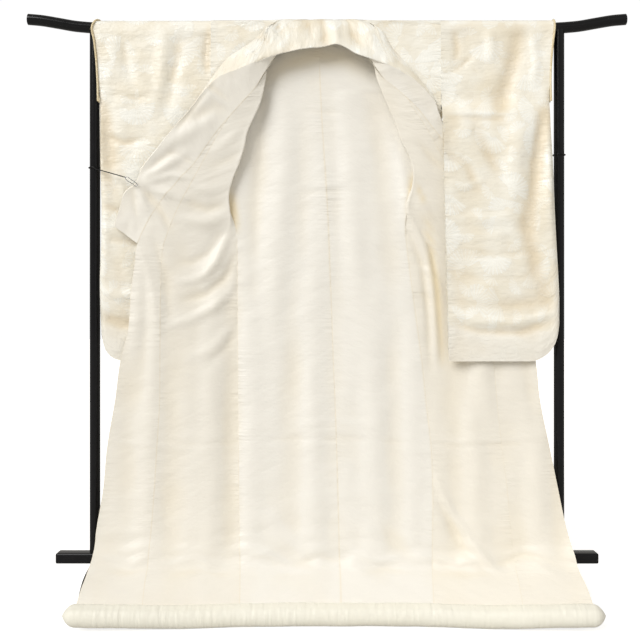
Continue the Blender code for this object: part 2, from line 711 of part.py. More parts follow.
def tie(cord, steel, group):
    """Small bands on the uprights, and the cord and pin that hold the left front open."""
    for side, name, height in ((-1, "left", 1.291), (1, "right", 1.329)):
        bpy.ops.mesh.primitive_torus_add(
            location=(side * UPRIGHT_X, 0.0, height), major_segments=14, minor_segments=5,
            major_radius=UPRIGHT_RADIUS + 0.0024, minor_radius=0.0018)
        band = bpy.context.active_object
        band.name = "tie_band_" + name
        band.data.name = band.name
        bpy.ops.object.transform_apply(location=True, rotation=False, scale=False)
        band.data.materials.append(cord)
        for owner in list(band.users_collection):
            owner.objects.unlink(band)
        group.objects.link(band)
    line = [(-683, -20.25, 1291), (-668, -36, 1282), (-640, -46, 1273), (-578.5, -61.5, 1254)]
    tube("tie_cord", [point(*place) for place in line], 0.0010, cord, group, sides=1)
    wire = [(-576, -61.7, 1256), (-579, -61.7, 1251), (-576, -61.7, 1247), (-560, -61.7, 1236),
            (-549, -61.7, 1229), (-545, -61.7, 1231), (-547, -61.7, 1236), (-559, -61.7, 1245),
            (-573, -61.7, 1255)]
    tube("tie_pin", [point(*place) for place in wire], 0.0009, steel, group, sides=1)


def stand(look, group, cutters):
    """Lacquered hanging stand: top bar with raised ends, uprights, low rail and arched feet."""
    lift = 0.024
    bar = [(-0.878, lift), (-0.84, lift * 0.86), (-0.79, lift * 0.52), (-0.74, lift * 0.16),
           (-0.70, 0.0), (0.70, 0.0), (0.74, lift * 0.16), (0.79, lift * 0.52),
           (0.84, lift * 0.86), (0.878, lift)]
    line = [Vector((x, 0.0, BAR_HEIGHT + rise)) for x, rise in bar]
    tube("bar", line, BAR_RADIUS, look, group, sides=6)
    saddle_line = [Vector((-0.75, 0.0, BAR_HEIGHT)), Vector((0.75, 0.0, BAR_HEIGHT))]
    saddle = tube("saddle_cut", saddle_line, BAR_RADIUS + GAP, look, cutters, sides=10)
    saddle.display_type = "WIRE"
    saddle.hide_render = True
    for side, name in ((-1, "left"), (1, "right")):
        x = side * UPRIGHT_X
        ends = [Vector((x, 0.0, RAIL_TOP + GAP)), Vector((x, 0.0, BAR_HEIGHT - 0.006))]
        upright = tube("upright_" + name, ends, UPRIGHT_RADIUS, look, group, sides=6)
        cut = upright.modifiers.new("saddle", "BOOLEAN")
        cut.operation = "DIFFERENCE"
        cut.solver = "EXACT"
        cut.object = saddle
        arch = [Vector((x, y * MM, z * MM)) for y, z in FOOT_AXIS]
        tube("foot_" + name, arch, FOOT_RADIUS, look, group, sides=4)
    centre = Vector((0.0, 0.0, RAIL_TOP - RAIL[2] * 0.5))
    box("rail", centre, RAIL, 0.002, look, group)


def centre_on_floor(group, cutters):
    """Set everything back so that the origin lies on the floor under the middle of the part."""
    bpy.context.view_layer.update()
    graph = bpy.context.evaluated_depsgraph_get()
    corners = []
    for made in group.objects:
        seen = made.evaluated_get(graph)
        corners += [seen.matrix_world @ Vector(corner) for corner in seen.bound_box]
    reach = [corner.y for corner in corners]
    for made in list(group.objects) + list(cutters.objects):
        made.location.y -= (min(reach) + max(reach)) * 0.5


def build():
    clear_scene()
    group = new_collection("wedding_kimono_on_stand")
    cutters = new_collection("cutters", cutters=True)
    cloth = material("ivory_silk", (0.86, 0.79, 0.64), 0.42)
    lining = material("white_lining", (0.93, 0.90, 0.80), 0.5)
    trim = material("cuff_silk", (0.80, 0.66, 0.40), 0.45)
    lacquer = material("black_lacquer", (0.012, 0.012, 0.014), 0.22)
    steel = material("bright_steel", (0.72, 0.72, 0.74), 0.25, 1.0)
    panels(-1, "left", cloth, lining, group)
    panels(1, "right", cloth, lining, group)
    make_collar(cloth, lining, group)
    sleeve(-1, "left", cloth, group)
    sleeve(1, "right", cloth, group)
    cuff_roll(-1, "left", trim, group)
    cuff_roll(1, "right", trim, group)
    hem_roll(lining, group)
    stand(lacquer, group, cutters)
    tie(lacquer, steel, group)
    centre_on_floor(group, cutters)


build()
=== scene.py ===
"""Looks of the wedding kimono on its stand: silk with listed folds, padded hem, lacquer."""

import math

import bmesh
import bpy
import numpy as np
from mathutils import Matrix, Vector, noise


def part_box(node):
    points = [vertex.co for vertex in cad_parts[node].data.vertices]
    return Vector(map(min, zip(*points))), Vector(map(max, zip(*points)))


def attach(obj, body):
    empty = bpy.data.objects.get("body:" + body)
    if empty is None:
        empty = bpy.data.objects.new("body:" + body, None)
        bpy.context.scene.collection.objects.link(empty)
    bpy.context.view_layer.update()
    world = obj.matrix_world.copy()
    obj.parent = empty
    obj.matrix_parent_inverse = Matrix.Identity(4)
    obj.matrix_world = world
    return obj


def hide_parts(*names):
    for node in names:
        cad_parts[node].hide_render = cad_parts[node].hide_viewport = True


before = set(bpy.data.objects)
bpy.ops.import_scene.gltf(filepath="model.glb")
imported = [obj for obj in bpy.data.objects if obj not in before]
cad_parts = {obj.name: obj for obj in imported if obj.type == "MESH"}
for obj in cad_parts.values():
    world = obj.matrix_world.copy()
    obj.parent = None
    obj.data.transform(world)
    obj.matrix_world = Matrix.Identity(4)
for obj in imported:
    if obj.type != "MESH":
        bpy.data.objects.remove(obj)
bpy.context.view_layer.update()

SIDES = ((-1, "left"), (1, "right"))

# Sizes in metres; the tables of the garment are in millimetres.
MM = 0.001
CLOTH = 0.0012
LINING = 0.0010
PLAY = 0.0005
CLOTH_STEP = 0.0075
COLLAR_STEP = 0.005
PANEL_POINTS = 8
OVERLAP_POINTS = 4
WRAP = 0.0193
COLLAR_WRAP = 0.0242
ROLL_RADIUS = 0.031
ROLL_END = 0.034
SEWN_DEPTH = 0.0015
TURN_SWELL = 0.007
TURN_GAP = 0.009
LEAF_GAP = 0.006
LEAF_RISE = 0.003
CUFF_RADIUS = 0.0030
CUFF_PLAY = 0.00015
CUFF_SKIN = 0.0020
CUFF_END = 0.006

# Sizes of the stand in metres.
BAR_HEIGHT = 1.704
BAR_RADIUS = 0.016
TIP_RISE = 0.024
UPRIGHT_X = 0.682
UPRIGHT_RADIUS = 0.0152
UPRIGHT_LOW = 0.1633
UPRIGHT_TOP = BAR_HEIGHT - 0.008
FOOT_RADIUS = 0.0135
RAIL_EDGE = 0.0045
LOOP_RADIUS = 0.0176
CORD_RADIUS = 0.0015
LOOP_CORD_RADIUS = 0.0018
WIRE_RADIUS = 0.0010
STAND_Y = (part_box("rail")[0].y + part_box("rail")[1].y) * 0.5

# Lights: the sky's strength, and each sun's place, spread in degrees and strength.
SKY_LIGHT = 0.43
BACKDROP_LIGHT = 1.02
FLOOR_GLOW = 0.72
SUNS = [("key", (-2.3, -2.9, 2.5), 34.0, 2.04), ("fill", (2.6, -2.6, 1.2), 60.0, 0.20)]

# The camera's place, lens and horizon.
CAMERA_X = -0.0206
CAMERA_HEIGHT = 0.856
CAMERA_DISTANCE = 2.6
CAMERA_LENS = 49.74
FRAME_PIXELS = 640
HORIZON_PIXEL = 316


# Garment tables

LOWER_LEFT = [
    # height, edge x, y, overlap x, y, side x, y
    (1000, -556, -51, -479, -48, -263, -11),
    (930, -566, -50, -481, -48, -263, -13),
    (820, -574, -50, -482, -47, -262, -16),
    (730, -596, -50, -483, -46, -261, -19),
    (610, -612, -50, -484, -45, -260, -24),
    (470, -635, -50, -492, -45, -258, -29),
    (355, -645, -55, -499, -46, -257, -33),
    (241, -661, -70, -506, -52, -255, -38),
    (190, -664, -85, -509, -60, -254, -42),
    (134, -675, -115, -512, -82, -251, -56),
    (104, -680, -156, -512, -120, -248, -88),
]
LOWER_RIGHT = [
    # height, edge x, y, overlap x, y, side x, y
    (1000, 558, -14, 470, -15, 241, -11),
    (930, 570, -14, 474, -15, 250, -13),
    (820, 590, -16, 480, -17, 264, -16),
    (730, 608, -19, 486, -20, 276, -19),
    (610, 620, -26, 494, -26, 288, -23),
    (470, 646, -38, 508, -36, 303, -28),
    (355, 667, -52, 520, -46, 307, -33),
    (241, 688, -68, 530, -54, 306, -38),
    (190, 700, -82, 534, -62, 305, -42),
    (134, 710, -118, 538, -84, 303, -57),
    (104, 718, -156, 538, -122, 300, -90),
]
CENTRE = [
    # height, x, y of the centre back seam
    (104, 38, -84), (134, 37, -52), (190, 35, -40), (241, 34, -36), (355, 31, -31),
    (470, 28, -27), (610, 23, -22), (730, 18, -18), (820, 15, -15), (930, 11, -12),
    (1000, 8, -10), (1092, 5, -7), (1197, 0, -3), (1434, -15, 6), (1612, -23, 13),
    (1704, -24, 19.3),
]
BACK_EDGE_LEFT = [
    # height, x, y
    (1000, -263, -11), (1060, -263.5, -10), (1092, -264, -9.5), (1130, -265, -8), (1180, -274, -6),
    (1240, -292, -4), (1300, -308, -1), (1360, -322, 2), (1420, -333, 5), (1475, -339, 8),
    (1560, -339, 12), (1640, -339, 16), (1704, -339, 19.3),
]
BACK_EDGE_RIGHT = [
    # height, x, y
    (1000, 241, -11), (1060, 234, -10), (1108, 229, -9.5), (1180, 226, -8.5), (1240, 240, -5),
    (1300, 268, -2), (1360, 298, 1), (1420, 320, 4), (1475, 332, 7), (1560, 332, 12),
    (1640, 332, 16), (1704, 332, 19.3),
]
# Neck edge over the bar: turn round the bar in degrees, x.
NECK_LEFT = [(10, -26), (50, -62), (95, -102), (135, -141.5)]
NECK_RIGHT = [(10, -22), (50, 20), (95, 60), (135, 102)]
# Upper fronts, turned open. The last column is the width of the turned layer; below 0 it crowds.
FAN_LEFT = [
    # side x, y, z, fold x, y, z, seam x, y, z, width
    (-339, -19.3, 1704, -168, -19.3, 1704, -146, -19.3, 1704, 1),
    (-339, -20.4, 1660, -170, -20.6, 1658, -149, -22, 1658, 1),
    (-339, -21, 1615, -172, -22.5, 1613, -155, -28.5, 1608, 1),
    (-339, -22, 1568, -177, -26, 1568, -179, -33.5, 1566, 1),
    (-339, -23, 1525, -184, -29, 1520, -209, -37, 1517, 1),
    (-339, -23, 1480, -194, -30, 1478, -245, -39, 1476, 1),
    (-337, -22, 1436, -211, -30, 1438, -281, -40, 1436, 1),
    (-333, -18, 1392, -231, -29, 1395, -310, -40, 1392, 1),
    (-327, -15, 1345, -241, -30, 1348, -338, -41, 1344, 1),
    (-320, -14, 1298, -257, -30, 1298, -366, -42, 1292, 1),
    (-312, -13, 1250, -277, -29, 1248, -394, -43, 1240, 0.6),
    (-303, -12.5, 1205, -287, -24, 1203, -418, -44, 1196, 0.4),
    (-287, -11.5, 1166, -284, -20, 1166, -436, -45, 1160, 0),
    (-272, -10.5, 1128, -281, -17.5, 1128, -452, -46, 1122, 0),
    (-264, -9.5, 1092, -300, -17, 1092, -465, -47, 1086, -0.88),
    (-263.5, -10, 1060, -300, -17, 1060, -474, -48, 1056, -0.73),
]
FAN_RIGHT = [
    # side x, y, z, fold x, y, z, seam x, y, z, width
    (332, -19.3, 1704, 128, -19.3, 1704, 106, -19.3, 1704, 1),
    (332, -20.4, 1660, 131, -20.6, 1658, 110, -22, 1660, 1),
    (332, -21, 1620, 135, -22.5, 1618, 118, -28.5, 1613, 1),
    (332, -22, 1580, 139, -26, 1580, 141, -33, 1576, 1),
    (332, -22, 1545, 146, -28, 1545, 165, -36, 1545, 1),
    (332, -22, 1515, 158, -29, 1515, 197, -37, 1518, 1),
    (332, -22, 1482, 170, -29, 1485, 229, -37, 1490, 1),
    (330, -18, 1440, 186, -28, 1450, 254, -35, 1452, 1),
    (322, -14, 1400, 200, -28, 1415, 282, -33, 1412, 1),
    (308, -13, 1357, 215, -28, 1370, 306, -31, 1372, 1),
    (290, -12, 1312, 241, -27, 1318, 336, -29, 1318, 0.6),
    (270, -12, 1270, 252, -24, 1270, 362, -27, 1270, 0.4),
    (248, -11, 1228, 247, -20, 1226, 388, -24, 1218, 0),
    (227, -9, 1180, 235, -17.5, 1178, 414, -22, 1165, 0),
    (229, -9.5, 1108, 300, -20, 1108, 440, -19, 1112, -0.88),
    (234, -10, 1060, 300, -18, 1060, 462, -17, 1060, -0.73),
]
# Collar sections: seam, front edge, top of the turned part or (x, turn round the bar).
COLLAR_LEFT = [
    (-66, -18, 1678, -58, -44, 1631, -60, 50, None),
    (-112, -22, 1652, -110, -48, 1621, -100, 95, None),
    (-155, -33, 1606, -162, -50, 1606, -142, 142, None),
    (-181, -38.5, 1563, -208, -52, 1588, -180, -27.5, 1690),
    (-209, -37, 1517, -258, -53, 1567, -225, -27.5, 1650),
    (-245, -39, 1476, -312, -54, 1545, -290, -30, 1606),
    (-281, -40, 1436, -352, -55, 1507, -339, -44, 1539),
    (-319, -41, 1391, -389, -56, 1460, -389, -45, 1466),
    (-355, -43, 1340, -435, -57, 1405, -437, -46, 1410),
    (-391, -44, 1290, -489, -57, 1336, -492, -46, 1341),
    (-422, -45, 1258, -533, -57, 1279, -537, -46, 1284),
    (-450, -46, 1224, -551, -57, 1236, -556, -46, 1240),
    (-476, -48, 1194, -579, -56, 1214, -583, -45, 1218),
    (-502, -49, 1156, -597, -55, 1165, -601, -44, 1168),
    (-526, -50, 1112, -606, -55, 1138, -610, -44, 1141),
    (-547, -51, 1065, -612, -54, 1114, -616, -43, 1117),
]
COLLAR_CENTRE = (-24, -17, 1680, -24, -42, 1634, -24, 22, None)
COLLAR_RIGHT = [
    (20, -18, 1680, 28, -42, 1643, 18, 50, None),
    (64, -22, 1655, 89, -46, 1612, 58, 95, None),
    (118, -33, 1611, 140, -48, 1595, 104, 142, None),
    (143, -37.5, 1574, 180, -49, 1580, 150, -27.5, 1694),
    (165, -36, 1545, 218, -49, 1560, 190, -27.5, 1640),
    (197, -37, 1518, 258, -48, 1534, 236, -29, 1585),
    (229, -37, 1490, 290, -44, 1503, 278, -31, 1536),
    (262, -35, 1458, 314, -39, 1472, 311, -34, 1488),
    (293, -33, 1420, 326, -35, 1440, 328, -24, 1449),
    (322, -31, 1384, 341, -31, 1403, 344, -20, 1409),
    (366, -27, 1335, 428, -28, 1366, 431, -17, 1372),
    (404, -25, 1288, 486, -26, 1318, 489, -15, 1324),
    (442, -23, 1236, 530, -25, 1264, 534, -14, 1269),
    (478, -21, 1182, 562, -24, 1210, 566, -13, 1215),
    (512, -20, 1126, 592, -23, 1160, 596, -12, 1164),
    (546, -18, 1066, 611, -22, 1118, 615, -11, 1121),
]
SLEEVE_LEFT = [
    # height, outer x, inner x, outer front y, outer rear y, inner front y, inner rear y
    (1704, -682, -339, -19.3, 19.3, -19.3, 19.3),
    (1660, -676, -339, -21, 17, -20, 17),
    (1600, -669, -339, -23, 9, -21.3, 14.5),
    (1540, -665, -339, -25, 0, -22.6, 11),
    (1475, -663, -339, -27, -14, -24, 8),
    (1410, -662, -340, -30, -20, -21, -3),
    (1300, -660, -342, -33, -20, -19, -5),
    (1190, -657, -342, -34, -20, -18, -5),
    (1060, -657, -342, -35, -20, -17, -4),
    (930, -661, -342, -35, -20, -17, -4),
    (840, -660, -342, -35, -20, -17, -5),
    (770, -658, -342, -34, -21, -16, -6),
    (725, -656, -342, -28, -27, -12, -11),
]
SLEEVE_RIGHT = [
    # height, outer x, inner x, outer front y, outer rear y, inner front y, inner rear y
    (1704, 661, 332, -19.3, 19.3, -19.3, 19.3),
    (1660, 656, 332, -21, 17, -20, 17),
    (1600, 650, 332, -23, 9, -21.3, 14.5),
    (1540, 647, 332, -26, -4, -22.6, 11),
    (1475, 647, 332, -32, -18, -24, 7),
    (1448, 648, 333, -36, -21, -46, -36),
    (1400, 649, 334, -40, -23, -56, -43),
    (1300, 654, 336, -42, -24, -57, -43),
    (1180, 659, 339, -42, -24, -57, -42),
    (1050, 665, 343, -42, -24, -56, -41),
    (930, 670, 346, -42, -24, -55, -40),
    (840, 673, 349, -42, -25, -54, -40),
    (770, 673, 350, -40, -27, -52, -42),
    (725, 673, 351, -34, -33, -48, -47),
]
# Round outer corner of each sleeve, and the height below which it draws the rows together.
CORNER_LEFT = 0.062
CORNER_RIGHT = 0.085
CORNER_FROM = 1.10
# The first row of a sleeve's tables that is sewn shut at the wrist, and its points' shares across.
SEWN_ROW = 4
SLEEVE_SHARES = (0.0, 0.22, 0.44, 0.64, 0.8, 0.9, 0.965, 1.0)
# The left sleeve's rear edge, and how much further out its front lies over the bar.
LEFT_REAR_EDGE = -0.657
LEFT_FRONT_EXTRA = 0.025
ROLL_AXIS = [
    # x, y, height
    (-716, -205, 44), (-660, -202, 43), (-508, -188, 36), (-390, -172, 30), (-244, -158, 30),
    (38, -152, 30), (295, -158, 30), (430, -172, 30), (536, -188, 36), (690, -202, 43),
    (750, -205, 44),
]
# How far the hem's corners lie from the lowest rows above: left, right.
HEM_SIDE = (0.004, -0.004)
HEM_SEAM = (0.004, -0.002)
HEM_EDGE = (-0.005, 0.006)
# A body panel's rows before the first number are its back, and from the second on its front.
BACK_ROWS = 20
FRONT_ROW = 24
# Where the back's side edge reaches further out under the front: height, spread, share.
BACK_REACH = 0.020
BACK_REACHES = {"left": [(1.160, 0.06, 1.0)], "right": [(1.214, 0.06, 1.0), (1.435, 0.035, 0.7)]}
# Unevenness that neighbouring panels share: size, depth, seed.
WAVES = (0.11, 0.0035, 2)
RIPPLES = (0.045, 0.0016, 31)
HEM_SEED = 4.0
# Painted shade: the turned fronts' lining is tinted toward gold more than the back, the right front more
# than the left.
FRONT_PAINTED_SHADE = 0.12
SIDE_PAINTED_SHADE = 0.03

# Folds listed for the fronts and the back: a line in x and z, its width, and its height
# towards the viewer.
FRONT_FOLDS = [
    # points (x, z), width, height
    ([(-535, 1250), (-470, 1285), (-400, 1330)], 12, 4.4),
    ([(-535, 1262), (-480, 1305), (-430, 1345)], 11, -3.8),
    ([(-530, 1238), (-480, 1218), (-440, 1212)], 12, 3.4),
    ([(-535, 1230), (-505, 1190), (-478, 1172)], 10, -3.0),
    ([(-545, 1228), (-530, 1180), (-508, 1140)], 8, 3.8),
    ([(-560, 1228), (-556, 1180), (-545, 1130)], 8, -2.4),
    ([(-530, 1236), (-450, 1262), (-380, 1250)], 9, 4.2),
    ([(-525, 1222), (-455, 1205), (-400, 1190)], 9, 3.8),
    ([(-515, 1205), (-475, 1150), (-450, 1100)], 9, -3.6),
    ([(-470, 1330), (-420, 1318), (-380, 1290)], 8, -2.4),
    ([(-360, 1530), (-320, 1505), (-285, 1475)], 9, -2.8),
    ([(-350, 1505), (-310, 1480), (-270, 1455)], 9, 2.6),
    ([(-330, 1330), (-280, 1370), (-250, 1400)], 12, 2.6),
    ([(-330, 1290), (-285, 1310), (-255, 1330)], 10, -2.4),
    ([(-440, 1395), (-360, 1440), (-280, 1476)], 22, -3.5),
    ([(-480, 1330), (-400, 1385), (-330, 1430)], 18, 3.0),
    ([(-287, 1091), (-325, 1010), (-354, 975), (-395, 957), (-430, 958)], 13, 5.2),
    ([(-300, 1110), (-345, 1040), (-390, 1012), (-430, 1010)], 12, -4.2),
    ([(-253, 1000), (-280, 930), (-330, 880), (-400, 845), (-450, 830)], 14, 4.8),
    ([(-262, 1040), (-300, 965), (-350, 920), (-420, 900)], 13, -4.6),
    ([(-551, 1068), (-514, 989), (-490, 815)], 13, 3.4),
    ([(-500, 1080), (-470, 980), (-455, 850)], 14, -3.4),
    ([(-250, 900), (-275, 820), (-330, 760), (-400, 730)], 16, 3.2),
    ([(-256, 850), (-290, 770), (-350, 710)], 14, -2.6),
    ([(-300, 1150), (-350, 1125), (-420, 1140)], 14, 5.0),
    ([(-300, 1180), (-350, 1165), (-410, 1190)], 13, -4.0),
    ([(-285, 1240), (-340, 1215), (-400, 1235)], 12, 3.0),
    ([(-540, 1000), (-550, 860), (-570, 700)], 20, 3.0),
    ([(-515, 980), (-522, 800), (-535, 600)], 18, -3.5),
    ([(420, 1060), (440, 900), (460, 700), (480, 480)], 26, 5.0),
    ([(380, 1000), (400, 820), (420, 600)], 24, -5.0),
    ([(560, 900), (585, 700), (610, 500)], 22, -4.0),
    ([(300, 484), (400, 478), (520, 486), (650, 490)], 8, -1.3),
    ([(300, 494), (400, 489), (520, 496), (650, 500)], 9, 1.0),
    ([(-240, 490), (-350, 483), (-430, 486)], 8, -1.3),
    ([(-420, 476), (-500, 484), (-640, 497)], 8, 1.2),
    ([(295, 420), (350, 310), (414, 205), (480, 140), (540, 108)], 12, 4.2),
    ([(290, 390), (335, 290), (390, 190), (450, 125)], 14, -3.6),
    ([(250, 1110), (300, 1050), (320, 930), (325, 760)], 15, 4.0),
    ([(245, 1090), (280, 1000), (296, 860), (300, 700)], 11, -4.5),
    ([(262, 1370), (300, 1320), (345, 1280)], 12, -3.5),
    ([(262, 1215), (292, 1147), (336, 1032)], 10, 3.6),
    ([(252, 1180), (280, 1110), (316, 1000)], 10, -3.0),
    ([(270, 1000), (300, 985), (322, 960)], 8, 2.4),
    ([(262, 930), (290, 915), (318, 880)], 8, -2.2),
    ([(-640, 172), (-560, 150), (-480, 166)], 9, 3.4),
    ([(-620, 135), (-560, 126), (-500, 134)], 8, -2.8),
    ([(-470, 142), (-380, 162), (-290, 140)], 9, 3.2),
    ([(-440, 118), (-360, 128), (-270, 116)], 7, -2.4),
    ([(310, 162), (370, 140), (440, 158)], 9, 3.4),
    ([(470, 150), (560, 172), (650, 150)], 9, -3.2),
    ([(520, 122), (600, 135), (680, 125)], 8, 2.8),
    ([(285, 178), (302, 150), (330, 128)], 7, 4.2),
    ([(320, 122), (400, 116), (480, 126)], 7, -2.4),
    ([(290, 1160), (320, 932), (334, 720)], 9, -4.5),
]
BACK_FOLDS = [
    # points (x, z), width, height
    ([(-120, 1600), (-130, 1300), (-150, 1000), (-150, 700)], 34, 4.0),
    ([(-190, 1550), (-205, 1250), (-215, 900)], 26, -4.0),
    ([(60, 1560), (70, 1300), (85, 1000), (95, 700)], 34, 4.0),
    ([(130, 1520), (165, 1300), (180, 1050)], 30, -4.0),
    ([(215, 1330), (235, 1200), (232, 1100)], 16, 4.0),
    ([(-70, 1450), (-75, 1200), (-60, 900)], 26, -2.5),
    ([(25, 1420), (30, 1200), (40, 900)], 24, -2.0),
    ([(-250, 488), (-80, 500), (80, 498), (290, 480)], 8, -1.2),
    ([(-100, 540), (20, 552), (160, 534)], 10, 1.2),
    ([(-60, 1458), (40, 1456)], 7, -1.5),
    ([(-60, 1238), (50, 1244)], 9, 1.3),
    ([(-70, 1218), (40, 1222)], 8, -1.3),
    ([(-235, 152), (-170, 172), (-110, 150)], 9, 3.4),
    ([(-90, 142), (-20, 162), (60, 150)], 8, -3.0),
    ([(70, 176), (140, 150), (210, 168)], 9, 3.4),
    ([(-200, 118), (-120, 130), (-40, 120)], 7, 2.8),
    ([(100, 118), (170, 130), (250, 120)], 8, -2.6),
    ([(-200, 300), (-100, 210), (20, 150)], 22, 3.0),
    ([(80, 320), (180, 220), (260, 150)], 22, -3.0),
]
# Painted shade on the lining: golden-brown shadow painted into the crevices between layers, by the
# underarms, beside the right sleeve and under the collar's arch.
PAINTED_SHADE_FRONT = [
    # points (x, z), width, share
    ([(294, 1150), (306, 1030), (322, 932), (330, 820), (337, 715)], 12, 0.42),
    ([(262, 1240), (285, 1180)], 7, 0.3),
]
PAINTED_SHADE_BACK = [
    # points (x, z), width, share
    ([(-282, 1220), (-276, 1160), (-268, 1105)], 14, 0.62),
    ([(250, 1270), (248, 1214), (240, 1150)], 12, 0.5),
    ([(-200, 1545), (-120, 1600), (-24, 1625), (60, 1618), (120, 1575)], 30, 0.3),
    ([(330, 1470), (326, 1400)], 14, 0.8),
]
# Creases of the collar and of the sleeves.
COLLAR_FOLDS = [
    # points (x, z), width, height
    ([(-240, 1722), (-200, 1672), (-150, 1636)], 9, -4.2),
    ([(-215, 1722), (-165, 1684), (-110, 1652)], 9, 4.2),
    ([(-262, 1650), (-222, 1622), (-175, 1600)], 9, 3.4),
    ([(-165, 1720), (-130, 1690)], 9, -3.8),
    ([(-110, 1722), (-70, 1690), (-40, 1672)], 10, 3.6),
    ([(12, 1722), (26, 1690), (30, 1655)], 11, 5.0),
    ([(-14, 1720), (-6, 1675), (-10, 1645)], 9, -4.4),
    ([(60, 1722), (72, 1680), (100, 1640)], 10, -4.0),
    ([(100, 1720), (128, 1670), (150, 1610)], 10, 3.6),
    ([(160, 1716), (190, 1660), (215, 1590)], 10, -3.8),
    ([(225, 1700), (238, 1640), (262, 1575)], 9, 3.4),
    ([(262, 1695), (275, 1630), (300, 1560)], 9, -3.4),
    ([(305, 1640), (318, 1580), (322, 1530)], 8, 2.8),
    ([(-140, 1718), (-104, 1668)], 8, 3.4),
    ([(-60, 1722), (-44, 1660)], 8, -3.6),
    ([(-330, 1520), (-390, 1450), (-430, 1395)], 8, -2.4),
    ([(-360, 1545), (-420, 1475), (-470, 1400)], 8, 2.4),
]
SLEEVE_FOLDS = [
    # points (x, z), width, height
    ([(345, 1432), (450, 1428), (560, 1430)], 7, -2.2),
    ([(345, 1441), (450, 1438), (560, 1440)], 8, 2.0),
    ([(350, 1560), (390, 1585), (430, 1622)], 7, -2.4),
    ([(420, 1590), (440, 1560)], 6, -1.6),
    ([(556, 1700), (545, 1620), (520, 1520), (490, 1430)], 26, -5.0),
    ([(640, 1480), (618, 1380), (600, 1250), (585, 1100)], 20, -6.5),
    ([(665, 1400), (650, 1260), (640, 1120)], 18, 5.0),
    ([(560, 1420), (545, 1300), (548, 1180)], 30, 6.0),
    ([(420, 1420), (460, 1330), (500, 1260)], 18, -3.0),
    ([(345, 1320), (400, 1290), (440, 1210)], 14, -3.0),
    ([(345, 1190), (370, 1160), (420, 1130)], 9, -2.6),
    ([(350, 1165), (400, 1140), (470, 1130), (560, 1150)], 14, 3.0),
    ([(350, 1040), (450, 1034), (600, 1040)], 13, -1.3),
    ([(350, 905), (420, 888), (520, 884), (640, 900)], 16, -2.2),
    ([(350, 868), (430, 842), (540, 836), (660, 862)], 12, 4.2),
    ([(350, 838), (440, 812), (560, 808), (655, 840)], 12, -3.4),
    ([(-660, 1500), (-640, 1350), (-620, 1200)], 22, -4.0),
    ([(-470, 1700), (-478, 1600), (-490, 1480)], 20, 3.5),
    ([(-430, 1700), (-440, 1600), (-470, 1450)], 18, -3.0),
    ([(-640, 1080), (-560, 1070), (-500, 1080)], 12, -3.0),
    ([(-650, 930), (-600, 915), (-540, 920)], 14, 4.0),
    ([(-655, 860), (-600, 835), (-540, 830)], 16, -4.0),
    ([(-560, 1560), (-500, 1480), (-450, 1400)], 24, 3.0),
    ([(-345, 1690), (-352, 1620), (-350, 1560)], 12, -6.0),
    ([(-620, 1500), (-560, 1490), (-480, 1505)], 7, -2.0),
    ([(-650, 1380), (-590, 1360), (-530, 1372)], 9, -2.6),
    ([(-645, 1290), (-600, 1240), (-575, 1180)], 10, 2.6),
    ([(-655, 1180), (-600, 1160), (-560, 1120)], 10, -2.6),
    ([(-600, 1680), (-590, 1600), (-570, 1540)], 14, -2.6),
    ([(370, 1690), (380, 1640), (372, 1590)], 11, -3.0),
    ([(470, 1700), (480, 1640), (470, 1580)], 14, 3.0),
    ([(600, 1690), (610, 1600), (600, 1520)], 12, 3.0),
    ([(560, 1200), (570, 1154), (605, 985), (650, 860)], 24, -4.0),
    ([(350, 1240), (390, 1225), (450, 1250)], 8, 2.4),
    ([(350, 1085), (420, 1080), (520, 1095), (620, 1085)], 9, 1.1),
    ([(350, 985), (430, 965), (520, 960), (600, 975)], 11, -1.2),
]

# The stand's curves, the cord and the pin, with their points listed.
BAR_LINE = [
    # x in metres, share of the tip's rise
    (-0.878, 1.0), (-0.84, 0.86), (-0.79, 0.52), (-0.74, 0.16), (-0.70, 0.0), (-0.35, 0.0),
    (0.35, 0.0), (0.70, 0.0), (0.74, 0.16), (0.79, 0.52), (0.84, 0.86), (0.878, 1.0),
]
FOOT_LINE = [
    # y, height
    (-146, 0), (-146, 10), (-145.5, 22), (-140, 48), (-122, 76), (-94, 97), (-50, 112), (0, 118.8),
    (50, 112), (94, 97), (122, 76), (140, 48), (145.5, 22), (146, 10), (146, 0),
]
LOOP_HEIGHTS = {"left": 1.291, "right": 1.329}
CORD_LINE = [
    (-683, -20.25, 1291), (-668, -36, 1282), (-640, -46, 1273), (-578.5, -61.5, 1254),
]
PIN_LINE = [
    (-576, -61.7, 1256), (-579, -61.7, 1251), (-576, -61.7, 1247), (-560, -61.7, 1236),
    (-549, -61.7, 1229), (-545, -61.7, 1231), (-547, -61.7, 1236), (-559, -61.7, 1245),
    (-573, -61.7, 1255),
]


# Curves and grids

def point(x, y, z):
    """A point in metres from a table's millimetres."""
    return np.array([x * MM, y * MM, z * MM])


def between(table, key):
    """Columns of a table at a key, straight between its rows; the key is the first column."""
    rows = sorted(table)
    keys = [row[0] for row in rows]
    return [float(np.interp(key, keys, [row[column] for row in rows]))
            for column in range(1, len(rows[0]))]


def smooth_steps(points, counts):
    """A smooth curve along the first axis, with so many steps from each point to the next."""
    gaps = np.linalg.norm(np.diff(points, axis=0), axis=-1, keepdims=True)
    gaps = np.maximum(gaps, 1e-6)
    slopes = np.diff(points, axis=0) / gaps
    bends = np.empty_like(points)
    bends[0] = slopes[0]
    bends[-1] = slopes[-1]
    bends[1:-1] = (slopes[:-1] * gaps[1:] + slopes[1:] * gaps[:-1]) / (gaps[:-1] + gaps[1:])
    rows = []
    for index, count in enumerate(counts):
        for step in range(count):
            t = step / count
            rows.append(
                points[index] * (2 * t ** 3 - 3 * t ** 2 + 1)
                + bends[index] * gaps[index] * (t ** 3 - 2 * t ** 2 + t)
                + points[index + 1] * (3 * t ** 2 - 2 * t ** 3)
                + bends[index + 1] * gaps[index] * (t ** 3 - t ** 2))
    rows.append(points[-1])
    return np.array(rows)


